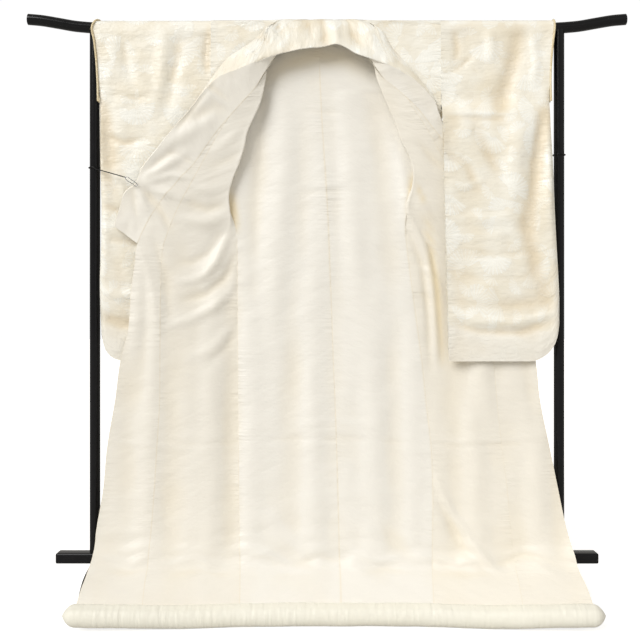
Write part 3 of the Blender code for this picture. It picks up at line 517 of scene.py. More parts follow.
def step_counts(points, spacing):
    """How many steps of about the spacing lie from each point, or row of points, to the next."""
    gaps = np.linalg.norm(np.diff(points, axis=0), axis=-1)
    while gaps.ndim > 1:
        gaps = gaps.mean(axis=-1)
    return [max(1, round(float(gap) / spacing)) for gap in gaps]


def fine(rows):
    """A grid of points read smoothly both ways at about the cloth's step."""
    grid = np.array(rows, dtype=float)
    grid = smooth_steps(grid, step_counts(grid, CLOTH_STEP))
    turned = np.swapaxes(grid, 0, 1)
    turned = smooth_steps(turned, step_counts(turned, CLOTH_STEP))
    return np.swapaxes(turned, 0, 1)


def curve_line(points, steps):
    """Points on a smooth curve through given points."""
    grid = smooth_steps(np.array(points, dtype=float)[:, None, :], [steps] * (len(points) - 1))
    return list(grid[:, 0])


def over_bar(x, turn, radius):
    """A point on the cloth over the bar: 0 is the rear, 90 the top, 180 the front."""
    angle = math.radians(turn)
    return np.array([x, radius * math.cos(angle), BAR_HEIGHT + radius * math.sin(angle)])


def spread(first, last, count):
    """Evenly spaced points on a straight line."""
    share = np.linspace(0.0, 1.0, count)[:, None]
    return list(first + (last - first) * share)


def toward(first, last, share):
    """The point at a share of the way from the first to the last."""
    return first + (last - first) * share


def roll_centre(x):
    """The middle of the hem roll at x."""
    y, z = between(ROLL_AXIS, x / MM)
    return np.array([x, y * MM, z * MM])


def hem_point(x):
    """Where the cloth is sewn into the roll: behind its crown and just under its skin."""
    return roll_centre(x) + np.array([0.0, 0.48, 0.88]) * (ROLL_RADIUS - SEWN_DEPTH)


def hem_row(first_x, last_x, count):
    """Evenly spaced points along the hem's seam."""
    return [hem_point(x) for x in np.linspace(first_x, last_x, count)]


# Body, overlap and collar rows

def crowded_row(side, seam, crowd):
    """Points from the side to the seam, drawn together at the side by a share."""
    crowded = (0.0, 0.02, 0.04, 0.06, 0.085, 0.13, 0.56, 1.0)
    even = np.linspace(0.0, 1.0, PANEL_POINTS)
    return [toward(side, seam, share + (close - share) * crowd) for share, close in zip(even, crowded)]


def front_row(entry):
    """Eight points of an upper front row, from the armhole side to the inner seam."""
    side = point(*entry[0:3])
    fold = point(*entry[3:6])
    seam = point(*entry[6:9])
    share = entry[9]
    if share < 0:
        return crowded_row(side, seam, -share)
    out = -1.0 if side[0] < 0.0 else 1.0
    wide = np.array([fold[0] + out * TURN_SWELL, side[1] + (fold[1] - side[1]) * 0.15, fold[2]])
    near = toward(toward(fold, side, 0.25), wide, share)
    far = toward(fold, seam, min(1 / 3, TURN_GAP / np.linalg.norm(seam - fold)))
    return spread(side, near, 4) + [fold, far, toward(far, seam, 0.5), seam]


def lower_front_row(entry, arc):
    """A front row below the underarm, bowed towards the viewer or away by the arc."""
    height, _, _, overlap_x, overlap_y, side_x, side_y = entry
    side = point(side_x, side_y, height)
    seam = point(overlap_x, overlap_y, height)
    row = crowded_row(side, seam, min(max((height - 820) / 360, 0.0), 0.5))
    bow = np.sin(np.linspace(0.0, math.pi, PANEL_POINTS))
    return [spot + np.array([0.0, arc * share, 0.0]) for spot, share in zip(row, bow)]


def back_row(height, edges, lower):
    """A row of the back, straight from the side edge to the centre seam."""
    centre_x, centre_y = between(CENTRE, height)
    if height < 1000:
        side_x, side_y = between([(row[0], row[5], row[6]) for row in lower], height)
    else:
        side_x, side_y = between(edges, height)
    return spread(point(side_x, side_y, height), point(centre_x, centre_y, height), PANEL_POINTS)


def body_rows(side):
    """One body panel from the back hem, over the bar, to the front hem."""
    left = side < 0
    lower = LOWER_LEFT if left else LOWER_RIGHT
    edges = BACK_EDGE_LEFT if left else BACK_EDGE_RIGHT
    centre_x = CENTRE[0][1] * MM
    hem_side = lower[-1][5] * MM + HEM_SIDE[side > 0]
    hem_seam = lower[-1][3] * MM + HEM_SEAM[side > 0]
    underarm = [1060, 1092] if left else [1060, 1108, 1180]
    heights = [104, 134, 190, 241, 355, 470, 610, 730, 820, 930, 1000] + underarm
    heights += [1240, 1300, 1360, 1420, 1475, 1560, 1640, 1685]
    rows = [hem_row(hem_side, centre_x, PANEL_POINTS)]
    rows += [back_row(height, edges, lower) for height in heights]
    edge_x = edges[-1][1] * MM
    for turn, x in NECK_LEFT if left else NECK_RIGHT:
        rows.append(spread(over_bar(edge_x, turn, WRAP), over_bar(x * MM, turn, WRAP), PANEL_POINTS))
    rows += [front_row(entry) for entry in (FAN_LEFT if left else FAN_RIGHT)]
    rows += [lower_front_row(entry, -0.003 if left else 0.0) for entry in lower]
    return rows + [hem_row(hem_side, hem_seam, PANEL_POINTS)]


def overlap_rows(side):
    """One overlap panel from its tip, beside the collar, to the front hem."""
    left = side < 0
    lower = LOWER_LEFT if left else LOWER_RIGHT
    fan = FAN_LEFT if left else FAN_RIGHT
    collar_table = COLLAR_LEFT if left else COLLAR_RIGHT
    first = 6
    tip = point(*fan[first][6:9])
    rows = [spread(tip, tip + np.array([side * 0.0004, 0.0, 0.0]), OVERLAP_POINTS)]
    for seam, edge in zip(fan[first + 1:], collar_table[first + 1:]):
        rows.append(spread(point(*seam[6:9]), point(*edge[0:3]), OVERLAP_POINTS))
    for height, edge_x, edge_y, seam_x, seam_y, _, _ in lower:
        rows.append(spread(point(seam_x, seam_y, height), point(edge_x, edge_y, height), OVERLAP_POINTS))
    hem_seam = lower[-1][3] * MM + HEM_SEAM[side > 0]
    hem_edge = lower[-1][1] * MM + HEM_EDGE[side > 0]
    return rows + [hem_row(hem_seam, hem_edge, OVERLAP_POINTS)]


def along(points, count):
    """Evenly spaced points on a broken line."""
    points = np.array(points)
    reach = np.concatenate([[0.0], np.cumsum(np.linalg.norm(np.diff(points, axis=0), axis=1))])
    places = np.linspace(0.0, reach[-1], count)
    return list(np.stack([np.interp(places, reach, points[:, axis]) for axis in range(3)], axis=1))


def collar_section(entry):
    """Twelve points of the collar: inner seam, front edge, then the turned-over part."""
    seam = point(*entry[0:3])
    edge = point(*entry[3:6])
    if entry[8] is None:
        rise = min(max((seam[2] - edge[2]) * 0.1, 0.0), LEAF_RISE)
        inner = spread(seam, edge + np.array([0.0, LEAF_GAP, rise]), 4)
        outer = [edge]
        for step in range(9):
            x = edge[0] + (entry[6] * MM - edge[0]) * (step + 1) / 9
            outer.append(over_bar(x, 180 - (180 - entry[7]) * step / 8, COLLAR_WRAP))
        return inner + along(outer, 8)
    top = point(*entry[6:9])
    power = 0.6 if np.linalg.norm(top - edge) < 0.03 else 1.0
    outer = [toward(edge, top, (step / 7) ** power) for step in range(8)]
    return spread(seam, toward(edge, seam, 0.06), 4) + outer


def collar_rows():
    """The collar's sections from its left end, round the neck, to its right end."""
    left = [collar_section(entry) for entry in COLLAR_LEFT]
    right = [collar_section(entry) for entry in COLLAR_RIGHT]
    return list(reversed(left)) + [collar_section(COLLAR_CENTRE)] + right


# Folds

def fold_field(x, z, folds):
    """Height of listed soft ridges and troughs at points given by x and z in metres."""
    total = np.zeros_like(x)
    for line, width, height in folds:
        path = np.array(line, dtype=float) * MM
        best = np.full_like(x, 1e9)
        place = np.zeros_like(x)
        lengths = np.linalg.norm(np.diff(path, axis=0), axis=1)
        whole = lengths.sum()
        done = 0.0
        for start, end, length in zip(path, path[1:], lengths):
            way = (end - start) / length
            share = np.clip((x - start[0]) * way[0] + (z - start[1]) * way[1], 0.0, length)
            distance = np.hypot(x - start[0] - way[0] * share, z - start[1] - way[1] * share)
            nearer = distance < best
            best = np.where(nearer, distance, best)
            place = np.where(nearer, (done + share) / whole, place)
            done += length
        ends = np.sin(np.pi * np.clip(place * 0.9 + 0.05, 0.0, 1.0)) ** 0.7
        total += 1.5 * height * MM * ends * np.exp(-(best / (width * MM)) ** 2)
    return total


def uneven(grid, size, depth, seed):
    """Soft unevenness of cloth, from smooth noise of the given size."""
    shift = Vector((seed * 3.7, seed * 1.3, seed * 2.1))
    flat = grid.reshape(-1, 3) / size
    values = [noise.noise(Vector((spot[0], spot[1] * 0.4, spot[2] * 0.6)) + shift) for spot in flat]
    return np.array(values).reshape(grid.shape[:2]) * depth


def puckers(along_seam, from_seam, pitch, reach, depth, seed):
    """Small gathers that run off a seam and die away."""
    wave = np.zeros_like(along_seam)
    for part in range(3):
        length = pitch * (1.0 + 0.43 * part)
        wave += np.sin(along_seam / length * 2 * math.pi + seed * (part + 1.7)) / (1 + part)
    swell = 0.6 + 0.4 * np.sin(along_seam * 9.0 + seed * 2.3)
    return depth * wave * swell * np.exp(-from_seam / reach)


def trough_shade(lift):
    """Share of painted shade at each point in a trough: a darker golden tone that stands for shade in
    the creases and the light that silk throws into them.
    """
    return np.clip(-lift / 0.0065, 0.0, 1.0) * 0.62


def toward_viewer(grid, lift):
    """The grid moved along -Y by a height at each point."""
    moved = grid.copy()
    moved[..., 1] -= lift
    return moved


def calm(z, low, high):
    """0 below low and 1 above high, smooth between."""
    share = np.clip((z - low) / (high - low), 0.0, 1.0)
    return share * share * (3 - 2 * share)


# Meshes

def lengths_of(grid):
    """Cloth coordinates in metres: how far across and how far along each point lies."""
    across = np.linalg.norm(np.diff(grid, axis=1), axis=-1)
    across = np.concatenate([np.zeros((grid.shape[0], 1)), np.cumsum(across, axis=1)], axis=1)
    down = np.linalg.norm(np.diff(grid, axis=0), axis=-1)
    down = np.concatenate([np.zeros((1, grid.shape[1])), np.cumsum(down, axis=0)], axis=0)
    return across, np.repeat(down.mean(axis=1)[:, None], grid.shape[1], axis=1)


def grid_normals(grid):
    """The direction square to the cloth at each point of a grid."""
    down = np.gradient(grid, axis=0)
    across = np.gradient(grid, axis=1)
    normal = np.cross(across, down)
    return normal / np.maximum(np.linalg.norm(normal, axis=-1, keepdims=True), 1e-9)


def shell(name, grid, side, wall, offset, look, flipped=False):
    """A cloth layer of real thickness on one side of a grid, with its cloth coordinates."""
    normal = grid_normals(grid) * (-1.0 if side < 0 else 1.0)
    if flipped:
        normal = -normal
    inner = grid + normal * offset
    outer = grid + normal * (offset + wall)
    rows, columns = grid.shape[:2]
    across, down = lengths_of(grid)
    count = rows * columns
    spots = np.concatenate([inner.reshape(-1, 3), outer.reshape(-1, 3)])
    spots[:, 1] += STAND_Y
    index = np.arange(count).reshape(rows, columns)
    quads = np.stack([index[:-1, :-1], index[1:, :-1], index[1:, 1:], index[:-1, 1:]], axis=-1)
    quads = quads.reshape(-1, 4)
    far = quads + count
    border = np.concatenate([index[0, :], index[1:, -1], index[-1, -2::-1], index[-2:0:-1, 0]])
    after = np.roll(border, -1)
    rim = np.stack([border, after, after + count, border + count], axis=-1)
    if (side < 0) != flipped:
        faces = np.concatenate([quads[:, ::-1], far, rim[:, ::-1]])
    else:
        faces = np.concatenate([quads, far[:, ::-1], rim])
    mesh = bpy.data.meshes.new(name)
    mesh.from_pydata(spots.tolist(), [], faces.tolist())
    left_shift = 2.3
    across = across + (left_shift if side < 0 else 0.0)
    places = np.stack([across, down], axis=-1).reshape(-1, 2)
    cloth_map(mesh, np.concatenate([places, places]))
    return placed(name, mesh, look)


def cloth_map(mesh, places):
    """A map named cloth, in metres, from a place across and along the cloth for each vertex."""
    layer = mesh.uv_layers.new(name="cloth")
    loops = np.empty(len(mesh.loops), dtype=np.int32)
    mesh.loops.foreach_get("vertex_index", loops)
    layer.data.foreach_set("uv", places[loops].astype(np.float32).reshape(-1))
    mesh.uv_layers.active = layer


def placed(name, mesh, look):
    """An object of the mesh, finished, with sharp rims."""
    made = bpy.data.objects.new(name, mesh)
    bpy.context.scene.collection.objects.link(made)
    return finished(made, look, 60)


def finished(made, look, sharp=40):
    """A piece with its material, smooth up to the sharp angle, riding on the stand."""
    mesh = made.data
    mesh.materials.append(look)
    mesh.polygons.foreach_set("use_smooth", [True] * len(mesh.polygons))
    mesh.update()
    mesh.set_sharp_from_angle(angle=math.radians(sharp))
    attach(made, "root")
    return made


def select_only(made):
    """Makes a piece the only selected and the active one."""
    bpy.ops.object.select_all(action="DESELECT")
    bpy.context.view_layer.objects.active = made
    made.select_set(True)


# Shader maths

class Wire:
    """A socket; its operators add Math nodes."""

    def __init__(self, look, socket):
        self.look = look
        self.socket = socket

    def __add__(self, other):
        return self.look.maths("ADD", self, other)

    def __sub__(self, other):
        return self.look.maths("SUBTRACT", self, other)

    def __rsub__(self, other):
        return self.look.maths("SUBTRACT", other, self)

    def __mul__(self, other):
        return self.look.maths("MULTIPLY", self, other)

    def __gt__(self, other):
        return self.look.maths("GREATER_THAN", self, other)

    def __lt__(self, other):
        return self.look.maths("LESS_THAN", self, other)

    __radd__ = __add__
    __rmul__ = __mul__


class Look:
    """A material with its Principled shader and the nodes that feed it."""

    def __init__(self, name, roughness, **constant):
        self.material = bpy.data.materials.new(name)
        self.material.use_nodes = True
        self.tree = self.material.node_tree
        self.shader = self.tree.nodes["Principled BSDF"]
        self.set_socket(self.shader.inputs["Roughness"], roughness)
        for label, value in constant.items():
            title = label.replace("_", " ").title().replace("Ior", "IOR")
            self.shader.inputs[title].default_value = value

    def set_socket(self, socket, value):
        if isinstance(value, Wire):
            self.tree.links.new(value.socket, socket)
        elif isinstance(value, tuple) and len(value) == 3 and socket.type == "RGBA":
            socket.default_value = (*value, 1.0)
        else:
            socket.default_value = value

    def node(self, kind, settings=None, inputs=None, output=0):
        """Any node: its settings first, then the values or links of its sockets."""
        made = self.tree.nodes.new(kind)
        for label, value in (settings or {}).items():
            setattr(made, label, value)
        for label, value in (inputs or {}).items():
            self.set_socket(made.inputs[label], value)
        return Wire(self, made.outputs[output])

    def maths(self, operation, *values):
        return self.node("ShaderNodeMath", {"operation": operation}, dict(enumerate(values)))

    def vector(self, operation, *values):
        return self.node("ShaderNodeVectorMath", {"operation": operation}, dict(enumerate(values)))

    def parts(self, vector):
        split = self.tree.nodes.new("ShaderNodeSeparateXYZ")
        self.set_socket(split.inputs[0], vector)
        return [Wire(self, socket) for socket in split.outputs]

    def join(self, x, y, z=0.0):
        return self.node("ShaderNodeCombineXYZ", {}, {0: x, 1: y, 2: z})

    def blend(self, share, first, second):
        return self.node("ShaderNodeMix", {"data_type": "RGBA"}, {0: share, 6: first, 7: second}, 2)

    def noise(self, vector, scale, detail=2.0, roughness=0.5):
        return self.node("ShaderNodeTexNoise", {}, {
            "Vector": vector, "Scale": scale, "Detail": detail, "Roughness": roughness})

    def cloth_place(self):
        """Places across and along the cloth, in metres."""
        across, down, _ = self.parts(self.node("ShaderNodeUVMap", {"uv_map": "cloth"}))
        return across, down

    def object_place(self):
        return self.node("ShaderNodeTexCoord", output="Object")

    def noted(self, label):
        """A value that was noted at each point of the cloth."""
        return self.node("ShaderNodeAttribute", {"attribute_name": label}, output="Fac")

    def colour(self, value):
        self.set_socket(self.shader.inputs["Base Color"], value)

    def roughness(self, value):
        self.set_socket(self.shader.inputs["Roughness"], value)

    def relief(self, height, depth, strength):
        bump = self.node("ShaderNodeBump", {}, {
            "Strength": strength, "Distance": depth, "Height": height})
        self.set_socket(self.shader.inputs["Normal"], bump)


# Finishes

def petals(look, across, down, size, seed, rays, reach):
    """Tone-on-tone woven fans of petals, one in each cell of a scattered layout."""
    shifted = look.join(across * (1.0 / size) + seed, down * (1.0 / size) + seed * 1.7)
    middle = look.node("ShaderNodeTexVoronoi", {"voronoi_dimensions": "2D"},
                       {"Vector": shifted, "Scale": 1.0, "Randomness": 0.75}, "Position")
    chance, _, _ = look.parts(Wire(look, middle.socket.node.outputs["Color"]))
    x, y, _ = look.parts(look.vector("SUBTRACT", shifted, middle))
    distance = look.maths("SQRT", x * x + y * y)
    bearing = look.maths("ARCTAN2", y, x)
    facing = look.maths("COSINE", bearing + chance * 6.283)
    ray = look.maths("SINE", bearing * rays)
    scallop = look.maths("ABSOLUTE", ray) * 0.05
    inside = (distance < (reach + scallop)) * (distance > 0.07) * (facing > 0.15)
    ribs = look.maths("SMOOTH_MAX", ray, -0.2, 0.4)
    return inside, ribs


def figured_silk(name, ground, figure, ribbed=1.0):
    """Ivory figured silk: ribbed ground, glossier woven fans, fine slubs."""
    look = Look(name, 0.42, sheen_weight=0.30, sheen_roughness=0.35, specular_ior_level=0.55)
    across, down = look.cloth_place()
    fans, ribs = petals(look, across, down, 0.125, 3.1, 26.0, 0.40)
    small, small_ribs = petals(look, across, down, 0.071, 8.4, 15.0, 0.36)
    fan = look.maths("MAXIMUM", fans * (0.55 + ribs * 0.45), small * (0.35 + small_ribs * 0.4))
    slub = look.noise(look.join(across * 14.0, down * 420.0), 1.0, 3.0, 0.6)
    cloud = look.noise(look.join(across * 9.0, down * 8.0), 1.0, 2.0)
    tone = fan * 0.68 + (slub - 0.5) * 0.6 + (cloud - 0.5) * 2.0
    woven = look.blend(tone + 0.34, ground, figure)
    banded = look.blend(look.noted("bare"), woven, PALE_SILK)
    # Painted shade: the silk darkens toward a deeper golden tone in the troughs of its creases.
    look.colour(look.blend(look.noted("painted_crease_shade"), banded, CREASE_SHADE_SILK))
    look.roughness(0.44 - fan * 0.16 + (slub - 0.5) * 0.2)
    grain = look.noise(look.join(across * 900.0, down * 1500.0), 1.0, 1.0)
    crease = look.noise(look.join(across * 15.0, down * 32.0), 1.0, 3.5, 0.56)
    near = look.maths("EXPONENT", look.noted("seam") * -50.0)
    gather = look.noise(look.join(across * 14.0, down * 120.0), 1.0, 2.0)
    crisp = look.noise(look.join(across * 34.0 + down * 14.0, down * 46.0 - across * 9.0), 1.0, 3.0)
    height = fan * 0.24 + slub * 0.20 * ribbed + grain * 0.05 + crease * 3.1
    height = height + gather * near * 3.2 + look.maths("ABSOLUTE", crisp - 0.5) * -1.7
    look.relief(height, 0.0015, 0.95)
    return look.material


def plain_silk(name, low, high):
    """Soft lining silk: faint crepe, small gathers beside the seams, shallow rumples."""
    look = Look(name, 0.42, sheen_weight=0.35, sheen_roughness=0.35, specular_ior_level=0.45)
    across, down = look.cloth_place()
    seam = look.noted("seam")
    patches = look.noise(look.join(across * 1.5, down * 6.5), 1.0, 1.0) - 0.43
    near = look.maths("EXPONENT", seam * -40.0) * look.maths("MAXIMUM", patches, 0.03)
    gather = look.noise(look.join(across * 9.0, down * 95.0), 1.0, 2.5, 0.55)
    rumple = look.noise(look.join(across * 7.0, down * 17.0), 1.0, 4.0, 0.55)
    pull = look.noise(look.join((across + down * 0.55) * 5.0, (down - across * 0.55) * 26.0), 1.0, 3.0)
    crepe = look.noise(look.join(across * 800.0, down * 1100.0), 1.0, 1.0)
    tone = look.noise(look.join(across * 2.6, down * 2.2), 1.0, 2.0)
    # Painted shade: the lining is blended toward a golden tone by its noted painted shade, and a thin
    # dark golden line marks each seam.
    stitched = look.maths("EXPONENT", seam * -450.0) * 0.34
    painted_shade_and_seam = look.maths("MAXIMUM", look.noted("painted_shade"), stitched)
    look.colour(look.blend(painted_shade_and_seam, look.blend(tone, low, high), PAINTED_SHADE_AND_SEAM_GOLD))
    look.roughness(0.38 + rumple * 0.12)
    height = gather * (near * 11.0 + 0.12) + rumple * 1.8 + pull * 1.3 + crepe * 0.03
    look.relief(height, 0.0022, 0.8)
    return look.material


def padded_silk(name, low, high):
    """Lining silk stretched over the hem padding, with fine gathers round the roll."""
    look = Look(name, 0.44, sheen_weight=0.3, sheen_roughness=0.35, specular_ior_level=0.35)
    across, down = look.cloth_place()
    gather = look.noise(look.join(across * 95.0, down * 11.0), 1.0, 2.0, 0.5)
    patch = look.noise(look.join(across * 5.0, down * 2.0), 1.0, 2.0)
    look.colour(look.blend(patch, low, high))
    look.roughness(0.40 + gather * 0.12)
    look.relief(gather * patch * 3.0 + patch, 0.0018, 0.9)
    return look.material


def lacquer(name):
    """Black gloss lacquer with a faint unevenness."""
    look = Look(name, 0.16, specular_ior_level=0.15, coat_weight=0.18, coat_roughness=0.08)
    place = look.object_place()
    film = look.noise(place, 60.0, 2.0)
    dust = look.noise(place, 900.0, 1.0)
    look.colour(look.blend(film, (0.0035, 0.0035, 0.004), (0.007, 0.007, 0.008)))
    look.roughness(0.14 + film * 0.10 + (dust > 0.72) * 0.12)
    look.relief(film, 0.0002, 0.25)
    return look.material


def steel(name):
    """Bright drawn steel wire."""
    look = Look(name, 0.25, metallic=1.0)
    place = look.object_place()
    drawn = look.noise(place, 1400.0, 2.0)
    look.colour(look.blend(drawn, (0.34, 0.34, 0.35), (0.48, 0.48, 0.49)))
    look.roughness(0.18 + drawn * 0.16)
    return look.material


def floor_finish(name):
    """Plain pale floor that glows to the camera alone, so that it meets the backdrop."""
    look = Look(name, 0.9, specular_ior_level=0.1)
    place = look.object_place()
    look.colour(look.blend(look.noise(place, 3.0), (0.70, 0.69, 0.67), (0.72, 0.71, 0.69)))
    seen = look.node("ShaderNodeLightPath", output="Is Camera Ray")
    look.set_socket(look.shader.inputs["Emission Color"], look.join(seen, seen, seen))
    look.set_socket(look.shader.inputs["Emission Strength"], FLOOR_GLOW)
    return look.material


# The finishes and their colours

# Golden tone of the lining's painted shade and of its seam lines.
PAINTED_SHADE_AND_SEAM_GOLD = (0.80, 0.66, 0.40)
PALE_SILK = (0.93, 0.89, 0.80)
# Darker golden tone of painted shade in the silk's creases.
CREASE_SHADE_SILK = (0.76, 0.63, 0.43)
FIGURED = figured_silk("figured_ivory_silk", (0.89, 0.82, 0.67), (0.99, 0.975, 0.90))
PLAIN = plain_silk("plain_white_silk", (0.885, 0.85, 0.775), (0.91, 0.88, 0.81))
PADDED = padded_silk("padded_hem_silk", (0.875, 0.845, 0.73), (0.895, 0.87, 0.77))
GOLD = figured_silk("cuff_gold_silk", (0.72, 0.58, 0.34), (0.84, 0.73, 0.50), 1.4)
BLACK = lacquer("black_gloss_lacquer")
STEEL = steel("bright_wire")


# Garment pieces

MARK = 1e-5


def marked(rows, value):
    """Rows with a fourth coordinate that tells the rear (-1) from the front (+1)."""
    rows = np.array(rows, dtype=float)
    return np.concatenate([rows, np.full(rows.shape[:2] + (1,), value * MARK)], axis=-1)


def fine_parts(*parts):
    """The fine grid of marked rows, and each point's mark."""
    grid = fine(np.concatenate(parts))
    return grid[..., :3], grid[..., 3] / MARK


def seam_distance(grid):
    """How far each point lies from the nearer side seam of its piece."""
    across, _ = lengths_of(grid)
    return np.minimum(across, across[:, -1:] - across)


def note(made, label, values):
    """A value from 0 to 1 at each point, on both skins of a shell, that the silk's finish reads."""
    layer = made.data.attributes.new(label, "FLOAT", "POINT")
    values = np.clip(values, 0.0, 1.0).astype(np.float32).reshape(-1)
    layer.data.foreach_set("value", np.concatenate([values, values]))


def cloth_and_lining(label, grid, side, node, painted_shade, **facts):
    """The figured outer silk and the plain lining of one panel."""
    outer = shell(label + "_silk", grid, side, CLOTH, PLAY / 2, FIGURED)
    inner = shell(label + "_lining_silk", grid, side, LINING, PLAY / 2, PLAIN, True)
    # Painted shade on the lining, as its share toward the golden tone.
    note(inner, "painted_shade", painted_shade)
    distance = seam_distance(grid)
    for made, replaced in ((outer, node[0]), (inner, node[1])):
        note(made, "seam", distance)
        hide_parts(replaced)


def body(side, name):
    """One body panel with its lining."""
    rows = body_rows(side)
    grid, part = fine_parts(marked(rows[:BACK_ROWS], -1.0),
                            marked(rows[BACK_ROWS:FRONT_ROW], 0.0),
                            marked(rows[FRONT_ROW:], 1.0))
    across, _ = lengths_of(grid)
    cover = sum(share * np.exp(-((grid[..., 2] - height) / spread_over) ** 2 - across / 0.025)
                for height, spread_over, share in BACK_REACHES[name])
    grid[..., 0] += np.where(part < -0.5, side * BACK_REACH * cover, 0.0)
    x, z = grid[..., 0], grid[..., 2]
    sewn = np.exp(-across / 0.018) * calm(1.10 - z, 0.0, 0.03)
    folds = np.where(part > 0.5, fold_field(x, z, FRONT_FOLDS), 0.0)
    folds += np.where(part < -0.5, fold_field(x, z, BACK_FOLDS), 0.0)
    lift = folds * (1.0 - sewn) + hanging_waves(x, z) + seam_dip(grid) + seam_gathers(grid, 3.1 + side)
    lift += uneven(grid, *WAVES) * calm(1.66 - z, 0.0, 0.06) + uneven(grid, *RIPPLES)
    off_bar = np.where(np.abs(part) < 0.5, 0.0, 1.0)
    grid = hem_rumples(toward_viewer(grid, lift * above_hem(z) * off_bar))
    # Painted shade on the lining: the listed crevice shadows, a darker golden tone in troughs, and the
    # fronts' tint.
    painted_shade = np.where(part > 0.5, fold_field(x, z, PAINTED_SHADE_FRONT), fold_field(x, z, PAINTED_SHADE_BACK)) / MM
    painted_shade = np.maximum(painted_shade, 0.3 * trough_shade(lift))
    painted_shade += np.where(part > 0.5, FRONT_PAINTED_SHADE + SIDE_PAINTED_SHADE * side, 0.0)
    cloth_and_lining(name + "_body", grid, side, ("body_" + name, "body_lining_" + name), painted_shade,
                     flat=(0.33, 3.55), area=1.0)


def seam_dip(grid):
    """The slight valley that a sewn seam pulls beside itself."""
    return -0.0006 * np.exp(-seam_distance(grid) / 0.008)


def seam_gathers(grid, seed):
    """Short gathers off both long seams of a panel."""
    _, down = lengths_of(grid)
    return puckers(down, seam_distance(grid), 0.034, 0.024, 0.00055, seed)


def above_hem(z):
    """0 at the hem seam and 1 above the turn of the hem."""
    return calm(z, 0.095, 0.15)


def hem_rumples(grid):
    """Lying folds where the hanging cloth turns onto the sloping hem, and the turn's uneven height."""
    x, z = grid[..., 0], grid[..., 2]
    near = np.exp(-((z - 0.175) / 0.06) ** 2)
    shift = np.array([noise.noise(Vector((value / 0.11, HEM_SEED, 0.3))) for value in x.reshape(-1)])
    flat = np.stack([x / 0.13, z / 0.034, np.full_like(x, HEM_SEED * 1.7)], axis=-1).reshape(-1, 3)
    lying = np.array([noise.noise(Vector(spot)) for spot in flat]).reshape(x.shape)
    raised = grid.copy()
    raised[..., 1] -= 0.0085 * lying * near
    raised[..., 2] += 0.022 * shift.reshape(x.shape) * near
    return raised


def hanging_waves(x, z):
    """Slight hanging waves of the lower cloth, growing towards the hem."""
    depth = 0.0035 * np.clip((1.15 - z) / 0.5, 0.0, 1.0)
    lean = 0.06 * (1.0 - z)
    wave = np.sin(x * (1.0 - lean) * 41.0) + 0.5 * np.sin(x * 67.0 + 1.3)
    return -depth * wave * np.clip((z - 0.12) / 0.1, 0.0, 1.0)


def overlap(side, name):
    """One overlap panel with its lining."""
    grid = fine(overlap_rows(side))
    x, z = grid[..., 0], grid[..., 2]
    lift = fold_field(x, z, FRONT_FOLDS) + hanging_waves(x, z) + seam_dip(grid)
    lift += seam_gathers(grid, 7.3 + side) + uneven(grid, *WAVES) + uneven(grid, *RIPPLES)
    grid = hem_rumples(toward_viewer(grid, lift * above_hem(z)))
    # Painted shade on the lining: a darker golden tone in troughs, and the fronts' tint.
    painted_shade = 0.3 * trough_shade(lift) + FRONT_PAINTED_SHADE + SIDE_PAINTED_SHADE * side
    cloth_and_lining(name + "_overlap", grid, side, ("overlap_" + name, "overlap_lining_" + name),
                     painted_shade, flat=(0.17, 1.50), area=0.205)


def collar():
    """The long collar band over the bar, and its white inner leaf beside the seam."""
    rows = np.array(collar_rows())
    turned = np.swapaxes(smooth_steps(rows, step_counts(rows, CLOTH_STEP)), 0, 1)
    spans = step_counts(turned, COLLAR_STEP)
    grid = np.swapaxes(smooth_steps(turned, spans), 0, 1)
    x, z = grid[..., 0], grid[..., 2]
    shared = fold_field(x, z, FRONT_FOLDS)
    sewn = shared + hanging_waves(x, z) + uneven(grid, *WAVES) + uneven(grid, *RIPPLES)
    lift = 0.9 * shared + 1.35 * fold_field(x, z, COLLAR_FOLDS)
    lift += uneven(grid, 0.05, 0.0045, 9) + uneven(grid, 0.018, 0.0012, 11)
    lift += uneven(grid, 0.034, 0.0055, 13) * calm(z, 1.58, 1.64)
    distance, _ = lengths_of(grid)
    near = np.exp(-distance / 0.018) * calm(1.64 - z, 0.0, 0.05)
    lift = lift * (1.0 - near) + sewn * near
    grid = toward_viewer(grid, lift * calm(1.725 - z, 0.0, 0.03) * calm(-grid[..., 1], 0.0, 0.015))
    outer = shell("collar_silk", grid, 1, CLOTH, PLAY / 2, FIGURED)
    note(outer, "seam", distance)
    # Painted shade in the collar's creases.
    note(outer, "painted_crease_shade", trough_shade(lift))
    leaf = sum(spans[:4]) + 1
    leaf_grid = grid[:, :leaf]
    leaf_distance, _ = lengths_of(leaf_grid)
    inner = shell("collar_lining_silk", leaf_grid, 1, LINING, PLAY / 2, PLAIN, True)
    note(inner, "seam", leaf_distance)
    # Painted shade on the inner leaf: a darker golden tone in troughs and a slight tint all over.
    note(inner, "painted_shade", 0.3 * trough_shade(lift)[:, :leaf] + 0.06)
    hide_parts("collar")
    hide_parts("collar_lining")


def cuff_over_bar(side, turn, rear_turn):
    """How far out the wrist edge reaches at a turn round the bar; the left one moves in to the rear."""
    if side > 0:
        return SLEEVE_RIGHT[0][1] * MM
    return LEFT_REAR_EDGE - LEFT_FRONT_EXTRA * (turn - rear_turn) / (180 - rear_turn)


